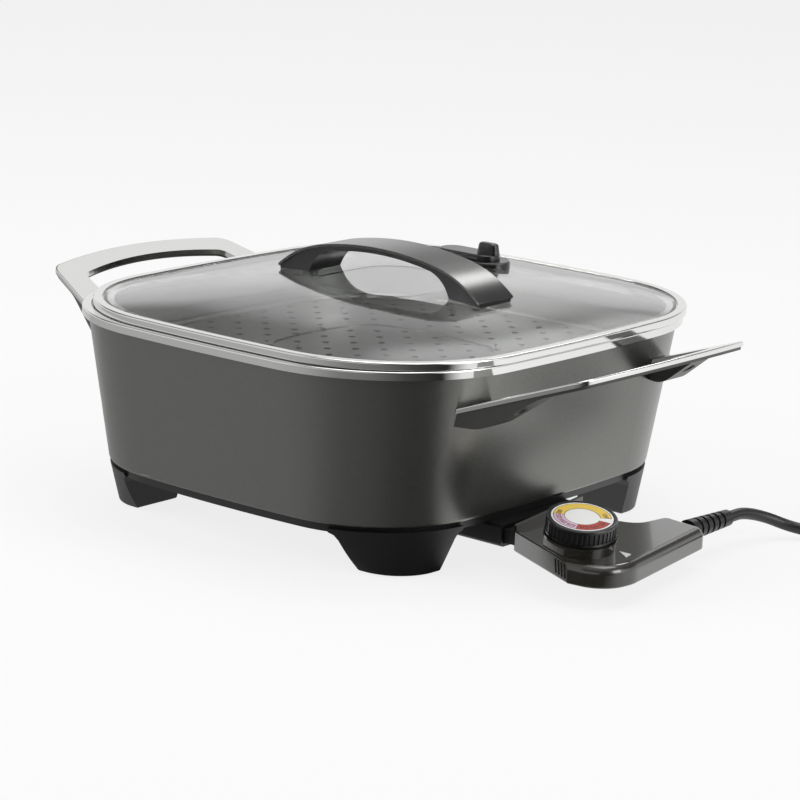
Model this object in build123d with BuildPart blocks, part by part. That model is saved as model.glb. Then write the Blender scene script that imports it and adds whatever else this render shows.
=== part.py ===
from build123d import *
from math import ceil, cos, hypot, pi, radians, sin, tan
import os

# Countertop electric skillet with lift-off glass lid, steamer tray and plug-in temperature control.
# Frame: origin on the table under the middle of the whole footprint, from the far side handle to
# the outer side of the control; +X towards the control, +Z up, millimetres.
# The sizes below are taken from the pan's own centre.

os.makedirs("parts", exist_ok=True)

# ---------------------------------------------------------------- general
pan_centre_x = -7.8        # the control reaches further out than the opposite handle
running_gap = 0.3          # between pieces that move past each other
hole_gap = 0.1             # round a screw in its hole
side_bow = 8.0             # how far each side of the pan bows outward

# ---------------------------------------------------------------- pan
rim_half_x = 152.5         # outer edge of the steel rim
rim_half_y = 164.5
rim_corner = 97.0
seam_half_x = 133.3        # bottom edge of the pan
seam_half_y = 147.0
seam_corner = 74.0
seam_z = 30.0              # pan bottom above the table
pan_depth = 89.9           # pan bottom to the underside of its flange
flange_thickness = 2.9
rim_overhang = 3.5         # rim outer edge to the pan wall
floor_thickness = 6.0
lower_wall = 5.4
upper_wall = 3.2
floor_fillet = 10.0
seam_fillet = 2.5
tray_step_z = 92.0         # inner step that carries the tray
rim_sheet = 1.0
rim_cover = 5.2            # how far the steel rim reaches over the flange

flange_z = seam_z + pan_depth
flange_top = flange_z + flange_thickness
rim_top = flange_top + rim_sheet
floor_z = seam_z + floor_thickness

# ---------------------------------------------------------------- base and feet
skirt_height = 5.0
skirt_draft = 1.5
skirt_wall = 3.0
skirt_flange = 2.5
skirt_flange_width = 26.0
foot_z = 0.5               # underside of the moulded feet
foot_width = 48.5          # at the top, from the pan's bottom edge inward along X
foot_length = 64.0         # the same along Y
foot_lean_x = 3.2          # how far the inner faces lean outward at the bottom
foot_lean_y = 4.0
foot_flare = 4.5           # the inner faces run out into the skirt in a hollow of this size
foot_inset_x = 12.0        # how far the outer faces tuck in at the bottom
foot_inset_y = 26.0
foot_corner = 27.0
foot_bow = 2.0
foot_edge_fillet = 1.5
pad_radius = 9.0
pad_recess = 1.4
pad_chamfer = 0.4
pad_inset_x = 18.8         # from a foot's outer faces at the bottom
pad_inset_y = 19.0
base_screw_radius = 1.9
base_screw_head = 4.0
base_screw_head_height = 2.2
base_screw_head_fillet = 0.8
base_screw_depth = 4.0
base_screw_inset = 20.0    # from the seam's edge to the screw
base_screw_offset = 40.0   # along the side from its middle

# ---------------------------------------------------------------- heater and socket
control_y = -18.0          # centre line of the socket and the control
socket_drop = 11.55        # from the pan's bottom down to pins and probe
element_radius = 3.6
element_half = 72.0        # half size of the element's loop
element_shoulder = 20.0    # the loop narrows by this towards the socket
element_flare = 6.0
element_bend = 24.0
element_knee = 10.0        # tighter bends where the element drops to the pins
element_lead = 14.0        # straight lead behind each pin
element_drop = 20.0        # run over which it climbs to the pan's underside
element_spread = 10.0
pin_radius = 2.4
pin_tip_fillet = 1.5
pin_length = 44.0
pin_inset = 45.3           # from the pan's bottom edge in to the root of the pins
pin_spacing = 22.0         # between the two pins
well_inset = 73.3          # from the pan's bottom edge in to the end of the sensor well
well_length = 37.5
well_width = 12.0
well_end_wall = 6.0
probe_radius = 3.2
probe_tip_gap = 3.0        # short of the end of the well's bore
probe_tip_fillet = 2.0
sleeve_wall = 0.6
sleeve_start = 2.0         # behind the nose's face
bore_floor_gap = 0.4       # sleeves and rod stop short of the bores' ends
guard_reach = 5.2          # mouth of the guard beyond the pan's bottom edge
guard_length = 40.5
guard_half_width = 37.0
guard_below = 6.55         # from the pins down to the underside of the guard
guard_wall = 1.8
guard_fillet = 2.0

socket_z = seam_z - socket_drop
pin_start_x = seam_half_x - pin_inset
well_start_x = seam_half_x - well_inset
guard_mouth_x = seam_half_x + guard_reach
guard_start_x = guard_mouth_x - guard_length
guard_low_z = socket_z - guard_below

# ---------------------------------------------------------------- side handles
plate_drop = 17.2          # from the pan's flange down to the loop's underside, below the rim's edge
plate_tilt = 19.3          # degrees, up and outward
plate_thickness = 3.2
plate_edge_fillet = 0.9
plate_end_gap = 0.3        # between the loop's ends and the pan wall
loop_reach = 65.5          # outermost point of the loop beyond the rim
loop_corner_back = 9.5     # its outer corners stand back from there
loop_corner_y = 77.5
loop_corner_fillet = 11.0
loop_root_inset = 52.5     # the arms start inside the pan's outline, this far in from the rim
loop_root_y = 112.0        # outer edge of the arms there
bar_width = 14.0           # between the loop's outermost point and the finger hole
hole_corner_back = 9.0
hole_corner_y = 62.5
hole_corner_fillet = 8.0
hole_root_y = 88.0         # inner edge of the arms where they start
grip_inset = 1.2           # the bracket's edge inside the loop's edge
grip_thickness = 1.8       # liner under the whole loop
grip_lobe_depth = 12.9     # lowest stretch of the brackets below the loop, under the rim's edge
grip_lobe_fillet = 22.0
grip_bend_reach = 29.5     # where they thin out, beyond the rim
grip_bend_depth = 2.0
grip_bend_fillet = 40.0
grip_toe_back = 10.0       # where they end, back from the loop's outermost point
grip_toe_depth = 0.4
stud_radius = 3.0
stud_length = 9.0          # out of the pan wall
stud_root = 20.0           # the stud's start inside the wall, trimmed off at the wall
stud_depth = 7.2           # below the loop, under the rim's edge
handle_screw_reach = 15.5  # beyond the rim
handle_screw_radius = 2.0
handle_screw_head = 3.6
handle_screw_head_height = 2.0
handle_screw_sink = 3.6    # seat of the head above the bracket's underside
handle_screw_grip = 2.0    # thread depth in the loop

# ---------------------------------------------------------------- steamer tray
tray_sheet = 1.2
tray_gap = 1.0             # to the pan wall
tray_bead_inset = 8.0
tray_bead_width = 5.0
tray_bead_height = 2.6
tray_bead_fillet = 1.8
tray_ring_half_x = 64.0
tray_ring_half_y = 60.0
tray_ring_corner = 30.0
tray_ring_width = 4.0
tray_ring_height = 1.2
tray_hole_radius = 2.3
tray_hole_pitch = 24.4     # the holes stand in two grids of this pitch, half a pitch apart
tray_hole_margin = 17.0

# ---------------------------------------------------------------- lid
lid_shift_x = 3.6          # the lid has play in the pan and stands a little off centre
lid_shift_y = 2.2
lid_inset = 2.3            # lid edge inside the rim's edge
band_height = 4.5
band_sheet = 0.8
band_cover = 5.4
lip_inset = 11.8
lip_depth = 3.8
glass_inset = 2.0
glass_thickness = 2.5
glass_seat = 0.2           # seal between glass and band
dome_inset = 6.2           # flat edge of the glass, under the band
dome_inner_share = 0.985   # the underside of the dome starts a little further in
dome_height = 11.1         # from the glass's edge to the flat of its crown
dome_steps = [(1.0, 0.0), (0.86, 0.36), (0.66, 0.65), (0.46, 0.865), (0.27, 1.0)]   # plan, height

band_top_fillet = 1.1
band_foot_fillet = 0.5
glass_hole_gap = 0.3       # round the screws and the vent

lid_bottom = rim_top + running_gap
lid_half_x = rim_half_x - lid_inset
lid_half_y = rim_half_y - lid_inset
lid_corner = rim_corner - lid_inset
glass_edge_z = lid_bottom + band_sheet + glass_seat

# ---------------------------------------------------------------- lid handle
arch_half = 79.0
arch_foot_rise = 14.4      # heights of the arch over the lid's underside
arch_shoulder_rise = 31.1
arch_crown_rise = 35.6
arch_shoulder_inset = 34.0     # from the arch's foot to its shoulder
strap_width = 32.0
strap_thickness = 1.6
liner_width = 29.0
liner_leg = 23.0           # length of the black legs along the glass
liner_leg_lean = 2.0
liner_shoulder = 7.0       # the liner's opening narrows by this at the shoulders
liner_shoulder_depth = 2.5
liner_crown_depth = 3.5
lid_screw_inset = 12.0     # from the arch's foot
lid_screw_radius = 2.4
lid_screw_head = 4.8
lid_screw_head_height = 2.4
lid_screw_head_fillet = 1.0
lid_screw_reach = 7.0      # above the glass
washer_radius = 7.0
washer_height = 0.8
washer_squeeze = 0.4       # the soft washer follows the glass by this much

arch_foot_z = lid_bottom + arch_foot_rise
arch_shoulder_z = lid_bottom + arch_shoulder_rise
arch_crown_z = lid_bottom + arch_crown_rise
arch_shoulder_half = arch_half - arch_shoulder_inset
inner_arch_half = arch_half - liner_leg
inner_shoulder_half = arch_shoulder_half - liner_shoulder
inner_shoulder_z = arch_shoulder_z - liner_shoulder_depth
inner_crown_z = arch_crown_z - liner_crown_depth
lid_screw_x = arch_half - lid_screw_inset

# ---------------------------------------------------------------- vent
vent_x = -17.0             # from the lid's centre
vent_y = 94.0
vent_length = 58.0
vent_width = 26.0
vent_base_height = 4.6
vent_base_sink = 0.6       # the base follows the glass by this much
vent_stem_radius = 5.0
vent_hole_radius = 0.8     # steam hole beside the lever's pin
vent_hole_offset = 3.9
vent_nut_radius = 9.0
vent_nut_height = 3.0
vent_nut_gap = 0.9         # below the glass, where the sealing ring sits
vent_cap = 1.0             # top of the base over the stem
vent_edge_fillet = 1.2
vent_pin_radius = 2.5
lever_length = 44.0
lever_width = 18.0
lever_height = 3.4
lever_tab_x = 15.0
lever_tab_length = 15.6
lever_tab_width = 9.0
lever_tab_height = 7.0
lever_tab_draft = 9.0      # degrees
lever_tab_fillet = 2.2

# ---------------------------------------------------------------- temperature control
# Places on the control are taken from the middle of the guard's mouth: outward, then along Y.
case_corners = [           # plan of the case, with the radius of each corner
    (3.0, 35.0, 4.0),      # front edge, far end
    (8.5, -37.0, 4.0),     # front edge, near end
    (68.5, -65.4, 0.0),    # flank, a sharp corner
    (92.5, -63.0, 20.0),   # lobe round the dial
    (95.5, -40.0, 30.0),   # shoulder
    (81.5, 49.0, 7.0),     # cord end, outer
    (49.5, 54.0, 7.0),     # cord end, inner
    (46.5, 29.0, 9.0),     # waist
    (29.5, 24.0, 6.0),     # back, a hollow corner
]
case_low_z = 11.5
case_split_z = 18.0
case_top_z = 24.3
case_wall = 2.2
case_foot_fillet = 1.5
case_edge_fillet = 1.2     # on the front edge and the flank
case_side_fillet = 5.0     # on the rounded side, from the flank to the back
case_side_run = 80.0       # the rounded side's outline runs on this far past its two ends
ridge_width = 2.2          # ridge along the front edge
ridge_near_z = 27.0
ridge_far_z = 30.5
flank_ribs = 4             # slanted finger ribs beside the flank's corner
flank_rib_pitch = 3.6
flank_rib_width = 1.2
flank_rib_height = 8.0
flank_rib_lean = 12.0      # degrees
flank_rib_depth = 0.5
flank_rib_inset = 3.5
nose_gap = 0.5
nose_reach = 24.0          # into the guard
nose_depth = 16.7          # into the case, from the guard's mouth
nose_edge_fillet = 1.0
nose_bore_end = 2.0        # bores run on past the pins' tips
nose_slot_room = 20.0
case_screw_radius = 1.4
case_screw_head = 2.6
case_screw_head_height = 1.4
case_screw_recess = 1.6
case_screw_bite = 2.8      # thread depth in the cover
case_post_wall = 2.2
case_screws = [(21.5, 16.0), (53.0, -52.0), (73.5, 24.0)]
block_place = (37.5, -22.0)    # thermostat block
block_length = 22.0
block_width = 34.0
block_height = 5.0
block_fillet = 1.5
bimetal_pitch = 8.0
bimetal_length = 30.0
bimetal_width = 5.0
bimetal_sheet = 0.8

dial_place = (60.3, -42.6)
dial_top_z = 44.0
dial_lean = 10.9           # degrees
dial_lean_heading = -37.0  # degrees from +X
knob_radius = 20.0
knob_height = 8.0
knob_ribs = 44
knob_top_fillet = 0.9
knob_smooth_band = 1.8     # plain band above the ribs
rib_depth = 0.7
rib_groove = 0.25          # the grooves' centres stand this far outside the knob
scale_radius = 17.4
scale_gap = 0.4
scale_recess = 0.8
scale_sink = 0.2           # the scale lies this far below the knob's rim
ring_height = 1.0
ring_reach = 0.3           # beyond the knob
collar_radius = 19.0
collar_height = 1.6
turret_radius = 20.2
turret_inset = 1.6         # the turret stays this far inside the case's plan
turret_flange = 1.2
turret_flange_reach = 0.6
turret_recess = 0.8
turret_lip = 1.2
turret_roof = 3.0
turret_hollow = 12.0
shaft_radius = 2.5
shaft_length = 18.0
shaft_cover = 2.5          # knob left over the shaft's end
pointer_corners = [(76.2, -28.4), (84.3, -28.2), (85.8, -35.0)]
pointer_height = 0.3


def case_point(place):
    """Place on the control, from the middle of the guard's mouth to the pan's centre."""
    return guard_mouth_x + place[0], control_y + place[1]


dial_x, dial_y = case_point(dial_place)

# ---------------------------------------------------------------- cord
cord_diameter = 7.0
relief_x = 204.5
relief_y = 35.0
relief_z = 18.2
relief_length = 40.0
relief_root = 6.4
relief_tip = 4.9
relief_neck = 3.4          # shank in the case's wall
relief_stem = 8.0          # its length inside the case
relief_rings = 5
relief_ring_start = 6.0
relief_ring_span = 30.0
relief_groove_width = 2.2
relief_groove_depth = 0.9
coil_x = 264.0
coil_y = 172.0
coil_lift = 1.4            # the tie passes under the coil
coil_inner_turn = 35.0
coil_outer_turn = 42.0
coil_height = 13.6
coil_edge = 2.9            # rounding of the ring's section
tie_angle = 215.0
tie_width = 9.0
tie_sheet = 0.8
tie_gap = 0.5
tie_corner = 2.2
cord_route = [
    (204.5, 75.0, 18.2),
    (204.5, 92.0, 18.2),
    (209.0, 109.0, 13.4),
    (219.0, 121.0, 7.0),
    (233.0, 128.0, 4.9),
    (252.0, 130.0, 4.9),
]
tail_route = [
    (303.0, 190.0, 11.4),
    (303.0, 206.0, 10.6),
    (308.0, 221.0, 8.8),
    (314.0, 235.0, 8.8),
]
plug_length = 34.0
plug_width = 25.0
plug_height = 17.0
plug_nose = 12.0
plug_collar = 1.6          # plug's first section beyond the cord
plug_taper = 4.0           # how much narrower it is at the nose
plug_shoulder = 8.0        # straight stretch before the blades
plug_corner = 4.0
blade_length = 17.0
blade_width = 6.4
blade_thickness = 1.5
blade_spacing = 12.7


def finish(piece, label):
    """Set a finished piece into the frame, name it and write it out."""
    placed = piece.part.moved(Location((pan_centre_x, 0, 0)))
    placed.label = label
    export_step(placed, f"parts/{label}.step")
    print(f"{label:24s} {len(placed.solids()):3d} solids {placed.volume / 1000:9.2f} cm3")


def bowed_outline(half_x, half_y, corner, bow=side_bow):
    """Rounded rectangle with sides that bow outward."""
    x, y = half_x - bow, half_y - bow
    with BuildSketch() as outline:
        with BuildLine():
            ThreePointArc((x, -y), (half_x, 0), (x, y))
            ThreePointArc((x, y), (0, half_y), (-x, y))
            ThreePointArc((-x, y), (-half_x, 0), (-x, -y))
            ThreePointArc((-x, -y), (0, -half_y), (x, -y))
        make_face()
        fillet(outline.vertices(), corner)
    return outline.sketch


def rim_outline(inset):
    return bowed_outline(rim_half_x - inset, rim_half_y - inset, rim_corner - inset)


def wall_half(z):
    """Half sizes and corner radius of the pan's outer wall at a height."""
    rise = (z - seam_z) / (flange_z - seam_z)
    half_x = seam_half_x + (rim_half_x - rim_overhang - seam_half_x) * rise
    half_y = seam_half_y + (rim_half_y - rim_overhang - seam_half_y) * rise
    corner = seam_corner + (rim_corner - rim_overhang - seam_corner) * rise
    return half_x, half_y, corner


def wall_outline(z, inset=0.0):
    half_x, half_y, corner = wall_half(z)
    return bowed_outline(half_x - inset, half_y - inset, corner - inset)


def lid_outline(inset):
    return bowed_outline(lid_half_x - inset, lid_half_y - inset, lid_corner - inset)


# ================================================================ pan
with BuildPart() as pan_envelope:                  # outer shape of the pan's wall
    for z in (seam_z, flange_z):
        with BuildSketch(Plane.XY.offset(z)):
            add(wall_outline(z))
    loft(ruled=True)

with BuildPart() as lower_cavity:
    for z in (floor_z, tray_step_z):
        with BuildSketch(Plane.XY.offset(z)):
            add(wall_outline(z, lower_wall))
    loft(ruled=True)
    fillet(lower_cavity.faces().sort_by(Axis.Z)[0].edges(), floor_fillet)

with BuildPart() as upper_cavity:
    for z in (tray_step_z, flange_z):
        with BuildSketch(Plane.XY.offset(z)):
            add(wall_outline(z, upper_wall))
    loft(ruled=True)
    with BuildSketch(Plane.XY.offset(flange_z)):
        add(wall_outline(flange_z, upper_wall))
    extrude(amount=flange_thickness)

base_screw_spots = [
    (sx * (seam_half_x - base_screw_inset), sy * base_screw_offset) for sx in (-1, 1) for sy in (-1, 1)
] + [(sx * base_screw_offset, sy * (seam_half_y - base_screw_inset)) for sx in (-1, 1) for sy in (-1, 1)]

with BuildPart() as pan_body:
    add(pan_envelope.part)
    fillet(pan_body.faces().sort_by(Axis.Z)[0].edges(), seam_fillet)
    with BuildSketch(Plane.XY.offset(flange_z)):
        add(rim_outline(rim_sheet))
    extrude(amount=flange_thickness)
    add(lower_cavity.part, mode=Mode.SUBTRACT)
    add(upper_cavity.part, mode=Mode.SUBTRACT)
    with BuildSketch(Plane.XY.offset(seam_z)):
        with Locations(*base_screw_spots):
            Circle(base_screw_radius + hole_gap)
    extrude(amount=base_screw_depth + hole_gap, mode=Mode.SUBTRACT)
finish(pan_body, "pan_body")

with BuildPart() as pan_rim:
    with BuildSketch(Plane.XY.offset(flange_z - rim_sheet)):
        add(rim_outline(0))
    extrude(amount=flange_thickness + 2 * rim_sheet)
    fillet(pan_rim.faces().sort_by(Axis.Z)[-1].edges(), rim_sheet)
    with BuildSketch(Plane.XY.offset(flange_z - rim_sheet)):
        add(rim_outline(rim_overhang))
    extrude(amount=rim_sheet, mode=Mode.SUBTRACT)
    with BuildSketch(Plane.XY.offset(flange_z)):
        add(rim_outline(rim_sheet))
    extrude(amount=flange_thickness, mode=Mode.SUBTRACT)
    with BuildSketch(Plane.XY.offset(flange_top)):
        add(rim_outline(rim_cover))
    extrude(amount=rim_sheet, mode=Mode.SUBTRACT)
finish(pan_rim, "pan_rim")

# ================================================================ base
skirt_low = seam_z - skirt_height

with BuildPart() as foot_envelope:                 # outer faces of the feet, all round
    with BuildSketch(Plane.XY.offset(seam_z)):
        add(wall_outline(seam_z))
    with BuildSketch(Plane.XY.offset(foot_z)):
        add(bowed_outline(seam_half_x - foot_inset_x, seam_half_y - foot_inset_y, foot_corner, foot_bow))
    loft(ruled=True)

foot_far = max(seam_half_x, seam_half_y) + skirt_wall   # reaches past the corner
foot_x = seam_half_x - foot_width                       # inner faces of the feet at the top
foot_y = seam_half_y - foot_length
foot_sections = [          # height, how far the two inner faces stand outward
    (seam_z - skirt_flange, -foot_flare, -foot_flare),
    (skirt_low, -foot_flare, -foot_flare),
    (skirt_low - foot_flare / 3, -foot_flare / 3, -foot_flare / 3),
    (skirt_low - foot_flare, 0.0, 0.0),
    (foot_z, foot_lean_x, foot_lean_y),
]
with BuildPart() as feet:
    for sx in (-1, 1):
        for sy in (-1, 1):
            for z, lean_x, lean_y in foot_sections:
                near_x, near_y = foot_x + lean_x, foot_y + lean_y
                middle = (sx * (near_x + foot_far) / 2, sy * (near_y + foot_far) / 2)
                with BuildSketch(Plane.XY.offset(z)):
                    with Locations(middle):
                        Rectangle(foot_far - near_x, foot_far - near_y)
            loft(ruled=True)
    add(foot_envelope.part, mode=Mode.INTERSECT)
    fillet(feet.edges().filter_by(Plane.XY).group_by(Axis.Z)[0], foot_edge_fillet)

pad_x = seam_half_x - foot_inset_x - pad_inset_x
pad_y = seam_half_y - foot_inset_y - pad_inset_y
with BuildPart() as base_skirt:
    with BuildSketch(Plane.XY.offset(seam_z)):
        add(wall_outline(seam_z, seam_fillet))
    with BuildSketch(Plane.XY.offset(skirt_low)):
        add(wall_outline(seam_z, seam_fillet + skirt_draft))
    loft(ruled=True)
    with BuildSketch(Plane.XY.offset(skirt_low)):
        add(wall_outline(seam_z, seam_fillet + skirt_draft + skirt_wall))
    extrude(amount=skirt_height - skirt_flange, mode=Mode.SUBTRACT)
    with BuildSketch(Plane.XY.offset(skirt_low)):
        add(wall_outline(seam_z, skirt_flange_width))
    extrude(amount=skirt_height, mode=Mode.SUBTRACT)
    add(feet.part)
    with BuildSketch(Plane.XY.offset(foot_z)):
        with GridLocations(2 * pad_x, 2 * pad_y, 2, 2):
            Circle(pad_radius + hole_gap)
    extrude(amount=pad_recess, mode=Mode.SUBTRACT)
    with BuildSketch(Plane.XY.offset(seam_z - skirt_flange)):
        with Locations(*base_screw_spots):
            Circle(base_screw_radius + hole_gap)
    extrude(amount=skirt_flange, mode=Mode.SUBTRACT)
finish(base_skirt, "base_skirt")

with BuildPart() as foot_pads:
    with BuildSketch(Plane.XY):
        with GridLocations(2 * pad_x, 2 * pad_y, 2, 2):
            Circle(pad_radius)
    extrude(amount=foot_z + pad_recess)
    chamfer(foot_pads.edges().group_by(Axis.Z)[0], pad_chamfer)
finish(foot_pads, "foot_pads")

with BuildPart() as base_screws:
    head_z = seam_z - skirt_flange
    with BuildSketch(Plane.XY.offset(head_z)):
        with Locations(*base_screw_spots):
            Circle(base_screw_head)
    extrude(amount=-base_screw_head_height)
    fillet(base_screws.edges().group_by(Axis.Z)[0], base_screw_head_fillet)
    with BuildSketch(Plane.XY.offset(head_z)):
        with Locations(*base_screw_spots):
            Circle(base_screw_radius)
    extrude(amount=skirt_flange + base_screw_depth)
finish(base_screws, "base_screws")

# ================================================================ heater and socket
element_z = seam_z - element_radius
pin_spots = [(control_y - pin_spacing / 2, socket_z), (control_y + pin_spacing / 2, socket_z)]
with BuildPart() as heating_element:
    lead_end_x = pin_start_x - element_lead
    half_loop = [
        (pin_start_x, pin_spacing / 2, socket_z),
        (lead_end_x, pin_spacing / 2, socket_z),
        (lead_end_x - element_drop, pin_spacing / 2 + element_spread, element_z),
        (element_half - element_shoulder, element_half + element_flare, element_z),
        (-element_half, element_half, element_z),
    ]
    loop = half_loop + [(x, -y, z) for x, y, z in reversed(half_loop)]
    loop = [(x, y + control_y, z) for x, y, z in loop]
    bends = [element_knee, element_knee, element_bend, element_bend]
    with BuildLine() as element_line:
        FilletPolyline(*loop, radius=bends + bends[::-1])
    with BuildSketch(Plane(origin=loop[0], z_dir=(-1, 0, 0))):
        Circle(element_radius)
    sweep(path=element_line.line)
finish(heating_element, "heating_element")

with BuildPart() as terminal_pins:
    with BuildSketch(Plane.YZ.offset(pin_start_x)):
        with Locations(*pin_spots):
            Circle(pin_radius)
    extrude(amount=pin_length)
    fillet(terminal_pins.edges().group_by(Axis.X)[-1], pin_tip_fillet)
finish(terminal_pins, "terminal_pins")

well_low = socket_z - well_width / 2
with BuildPart() as sensor_well:
    with BuildSketch(Plane.XY.offset(well_low)):
        with Locations((well_start_x + well_length / 2, control_y)):
            Rectangle(well_length, well_width)
    extrude(amount=seam_z - well_low)
    with BuildSketch(Plane.YZ.offset(well_start_x + well_end_wall)):
        with Locations((control_y, socket_z)):
            Circle(probe_radius + running_gap)
    extrude(amount=well_length, mode=Mode.SUBTRACT)
    with BuildSketch(Plane.XY.offset(seam_z - skirt_flange)):    # clears the base's flange
        with Locations((seam_half_x, control_y)):
            Rectangle(2 * (skirt_flange_width + running_gap), 2 * well_width)
    extrude(amount=skirt_flange, mode=Mode.SUBTRACT)
finish(sensor_well, "sensor_well")

with BuildPart() as terminal_guard:
    guard_top = skirt_low
    with BuildSketch(Plane.XY.offset(guard_low_z)):
        with Locations((guard_start_x + guard_length / 2, control_y)):
            Rectangle(guard_length, 2 * guard_half_width)
    extrude(amount=guard_top - guard_low_z)
    fillet(terminal_guard.edges().filter_by(Axis.X), guard_fillet)
    with BuildSketch(Plane.YZ.offset(guard_start_x + guard_wall)):
        with Locations((control_y, (guard_low_z + guard_top) / 2)):
            Rectangle(2 * (guard_half_width - guard_wall), guard_top - guard_low_z - 2 * guard_wall)
    extrude(amount=guard_mouth_x, mode=Mode.SUBTRACT)
    with BuildSketch(Plane.YZ.offset(guard_start_x)):
        with Locations((control_y, socket_z)):
            Rectangle(pin_spacing + 4 * pin_radius, well_width + 2 * running_gap)
    extrude(amount=guard_wall, mode=Mode.SUBTRACT)
finish(terminal_guard, "terminal_guard")

# ================================================================ side handles
slope = tan(radians(plate_tilt))
loop_low_z = flange_z - plate_drop                 # underside of the loop, below the rim's edge
loop_root_x = rim_half_x - loop_root_inset
loop_reach_x = rim_half_x + loop_reach
loop_corner_x = loop_reach_x - loop_corner_back
hole_reach_x = loop_reach_x - bar_width
hole_corner_x = hole_reach_x - hole_corner_back


def plate_z(x):
    """Underside of the tilted loop at a distance from the middle of the pan."""
    return loop_low_z + (x - rim_half_x) * slope


def arm_y(x):
    """Middle of the loop's arm at a distance from the middle of the pan."""
    along = x - loop_root_x
    outer_y = loop_root_y + (loop_corner_y - loop_root_y) * along / (loop_corner_x - loop_root_x)
    inner_y = hole_root_y + (hole_corner_y - hole_root_y) * along / (hole_corner_x - loop_root_x)
    return (outer_y + inner_y) / 2


def loop_face(root_y, corner_x, corner_y, reach_x, corner_fillet):
    """One edge of the handle loop, seen from above: two straight arms and a bowed outer side."""
    with BuildSketch() as face:
        with BuildLine():
            Polyline((corner_x, -corner_y), (loop_root_x, -root_y), (loop_root_x, root_y),
                     (corner_x, corner_y))
            ThreePointArc((corner_x, -corner_y), (reach_x, 0), (corner_x, corner_y))
        make_face()
        for side in (-1, 1):
            fillet(face.vertices().sort_by_distance((corner_x, side * corner_y))[0], corner_fillet)
    return face.sketch


def loop_outline(inset):
    """The bar of the loop, drawn in by an inset on both of its edges."""
    with BuildSketch() as outline:
        add(loop_face(loop_root_y, loop_corner_x, loop_corner_y, loop_reach_x, loop_corner_fillet))
        add(loop_face(hole_root_y, hole_corner_x, hole_corner_y, hole_reach_x, hole_corner_fillet),
            mode=Mode.SUBTRACT)
        if inset:
            offset(amount=-inset)
    return outline.sketch


def tilted_slab(low, high):
    """Profile of a slab that follows the loop's tilt, between two heights above its underside."""
    with BuildSketch() as profile:
        with BuildLine():
            Polyline((loop_root_x, plate_z(loop_root_x) + low), (loop_reach_x, plate_z(loop_reach_x) + low),
                     (loop_reach_x, plate_z(loop_reach_x) + high),
                     (loop_root_x, plate_z(loop_root_x) + high), close=True)
        make_face()
    return profile.sketch


def bracket_profile():
    """Side view of a bracket: deep at the pan, thinning out under the loop."""
    root_low = (loop_root_x, loop_low_z - grip_lobe_depth)
    lobe = (rim_half_x, loop_low_z - grip_lobe_depth)
    bend_x = rim_half_x + grip_bend_reach
    toe_x = loop_reach_x - grip_toe_back
    toe = (toe_x, plate_z(toe_x) - grip_toe_depth)
    with BuildSketch() as profile:
        with BuildLine():
            FilletPolyline(root_low, lobe, (bend_x, plate_z(bend_x) - grip_bend_depth), toe,
                           radius=[grip_lobe_fillet, grip_bend_fillet])
            Polyline(toe, (toe_x, plate_z(toe_x)), (loop_root_x, plate_z(loop_root_x)), root_low)
        make_face()
    return profile.sketch


handle_screw_x = rim_half_x + handle_screw_reach
handle_screw_spots = [(handle_screw_x, sy * arm_y(handle_screw_x)) for sy in (-1, 1)]
bracket_fall = (loop_low_z - grip_lobe_depth
                + (plate_z(rim_half_x + grip_bend_reach) - grip_bend_depth - loop_low_z + grip_lobe_depth)
                * handle_screw_reach / grip_bend_reach)      # bracket's underside at the screws
screw_seat_low = bracket_fall + handle_screw_sink
screw_top = plate_z(handle_screw_x) + handle_screw_grip

stud_z = loop_low_z - stud_depth
stud_wall_x = wall_half(stud_z)[0]
stud_spots = [(sy * arm_y(stud_wall_x + stud_length / 2), stud_z) for sy in (-1, 1)]

with BuildPart() as plate_limit:                   # the loop's ends stop just short of the pan wall
    for z in (seam_z, flange_z):
        with BuildSketch(Plane.XY.offset(z)):
            add(wall_outline(z, -plate_end_gap))
    loft(ruled=True)

with BuildPart() as right_plate:
    with BuildSketch(Plane.XY):
        add(loop_outline(0))
    extrude(amount=2 * flange_z)
    with BuildSketch(Plane.XZ.offset(-rim_half_y)):
        add(tilted_slab(0, plate_thickness))
    extrude(amount=2 * rim_half_y, mode=Mode.INTERSECT)
    fillet(right_plate.edges().group_by(Axis.Z)[-1], plate_edge_fillet)
    add(plate_limit.part, mode=Mode.SUBTRACT)
    with BuildSketch(Plane.XY.offset(screw_seat_low)):
        with Locations(*handle_screw_spots):
            Circle(handle_screw_radius + hole_gap)
    extrude(amount=screw_top - screw_seat_low, mode=Mode.SUBTRACT)

with BuildPart() as right_grip:
    with BuildSketch(Plane.XY):
        add(loop_outline(grip_inset))
    extrude(amount=2 * flange_z)
    with BuildSketch(Plane.XZ.offset(-rim_half_y)):
        add(tilted_slab(-grip_thickness, 0))
        add(bracket_profile())
    extrude(amount=2 * rim_half_y, mode=Mode.INTERSECT)
    add(pan_envelope.part, mode=Mode.SUBTRACT)
    with BuildSketch(Plane.YZ.offset(stud_wall_x - stud_root)):
        with Locations(*stud_spots):
            Circle(stud_radius + hole_gap)
    extrude(amount=stud_root + stud_length, mode=Mode.SUBTRACT)
    with BuildSketch(Plane.XY.offset(screw_seat_low)):
        with Locations(*handle_screw_spots):
            Circle(handle_screw_radius + hole_gap)
    extrude(amount=screw_top - screw_seat_low, mode=Mode.SUBTRACT)
    with BuildSketch(Plane.XY.offset(screw_seat_low)):
        with Locations(*handle_screw_spots):
            Circle(handle_screw_head + hole_gap)
    extrude(amount=-grip_lobe_depth, mode=Mode.SUBTRACT)

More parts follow.
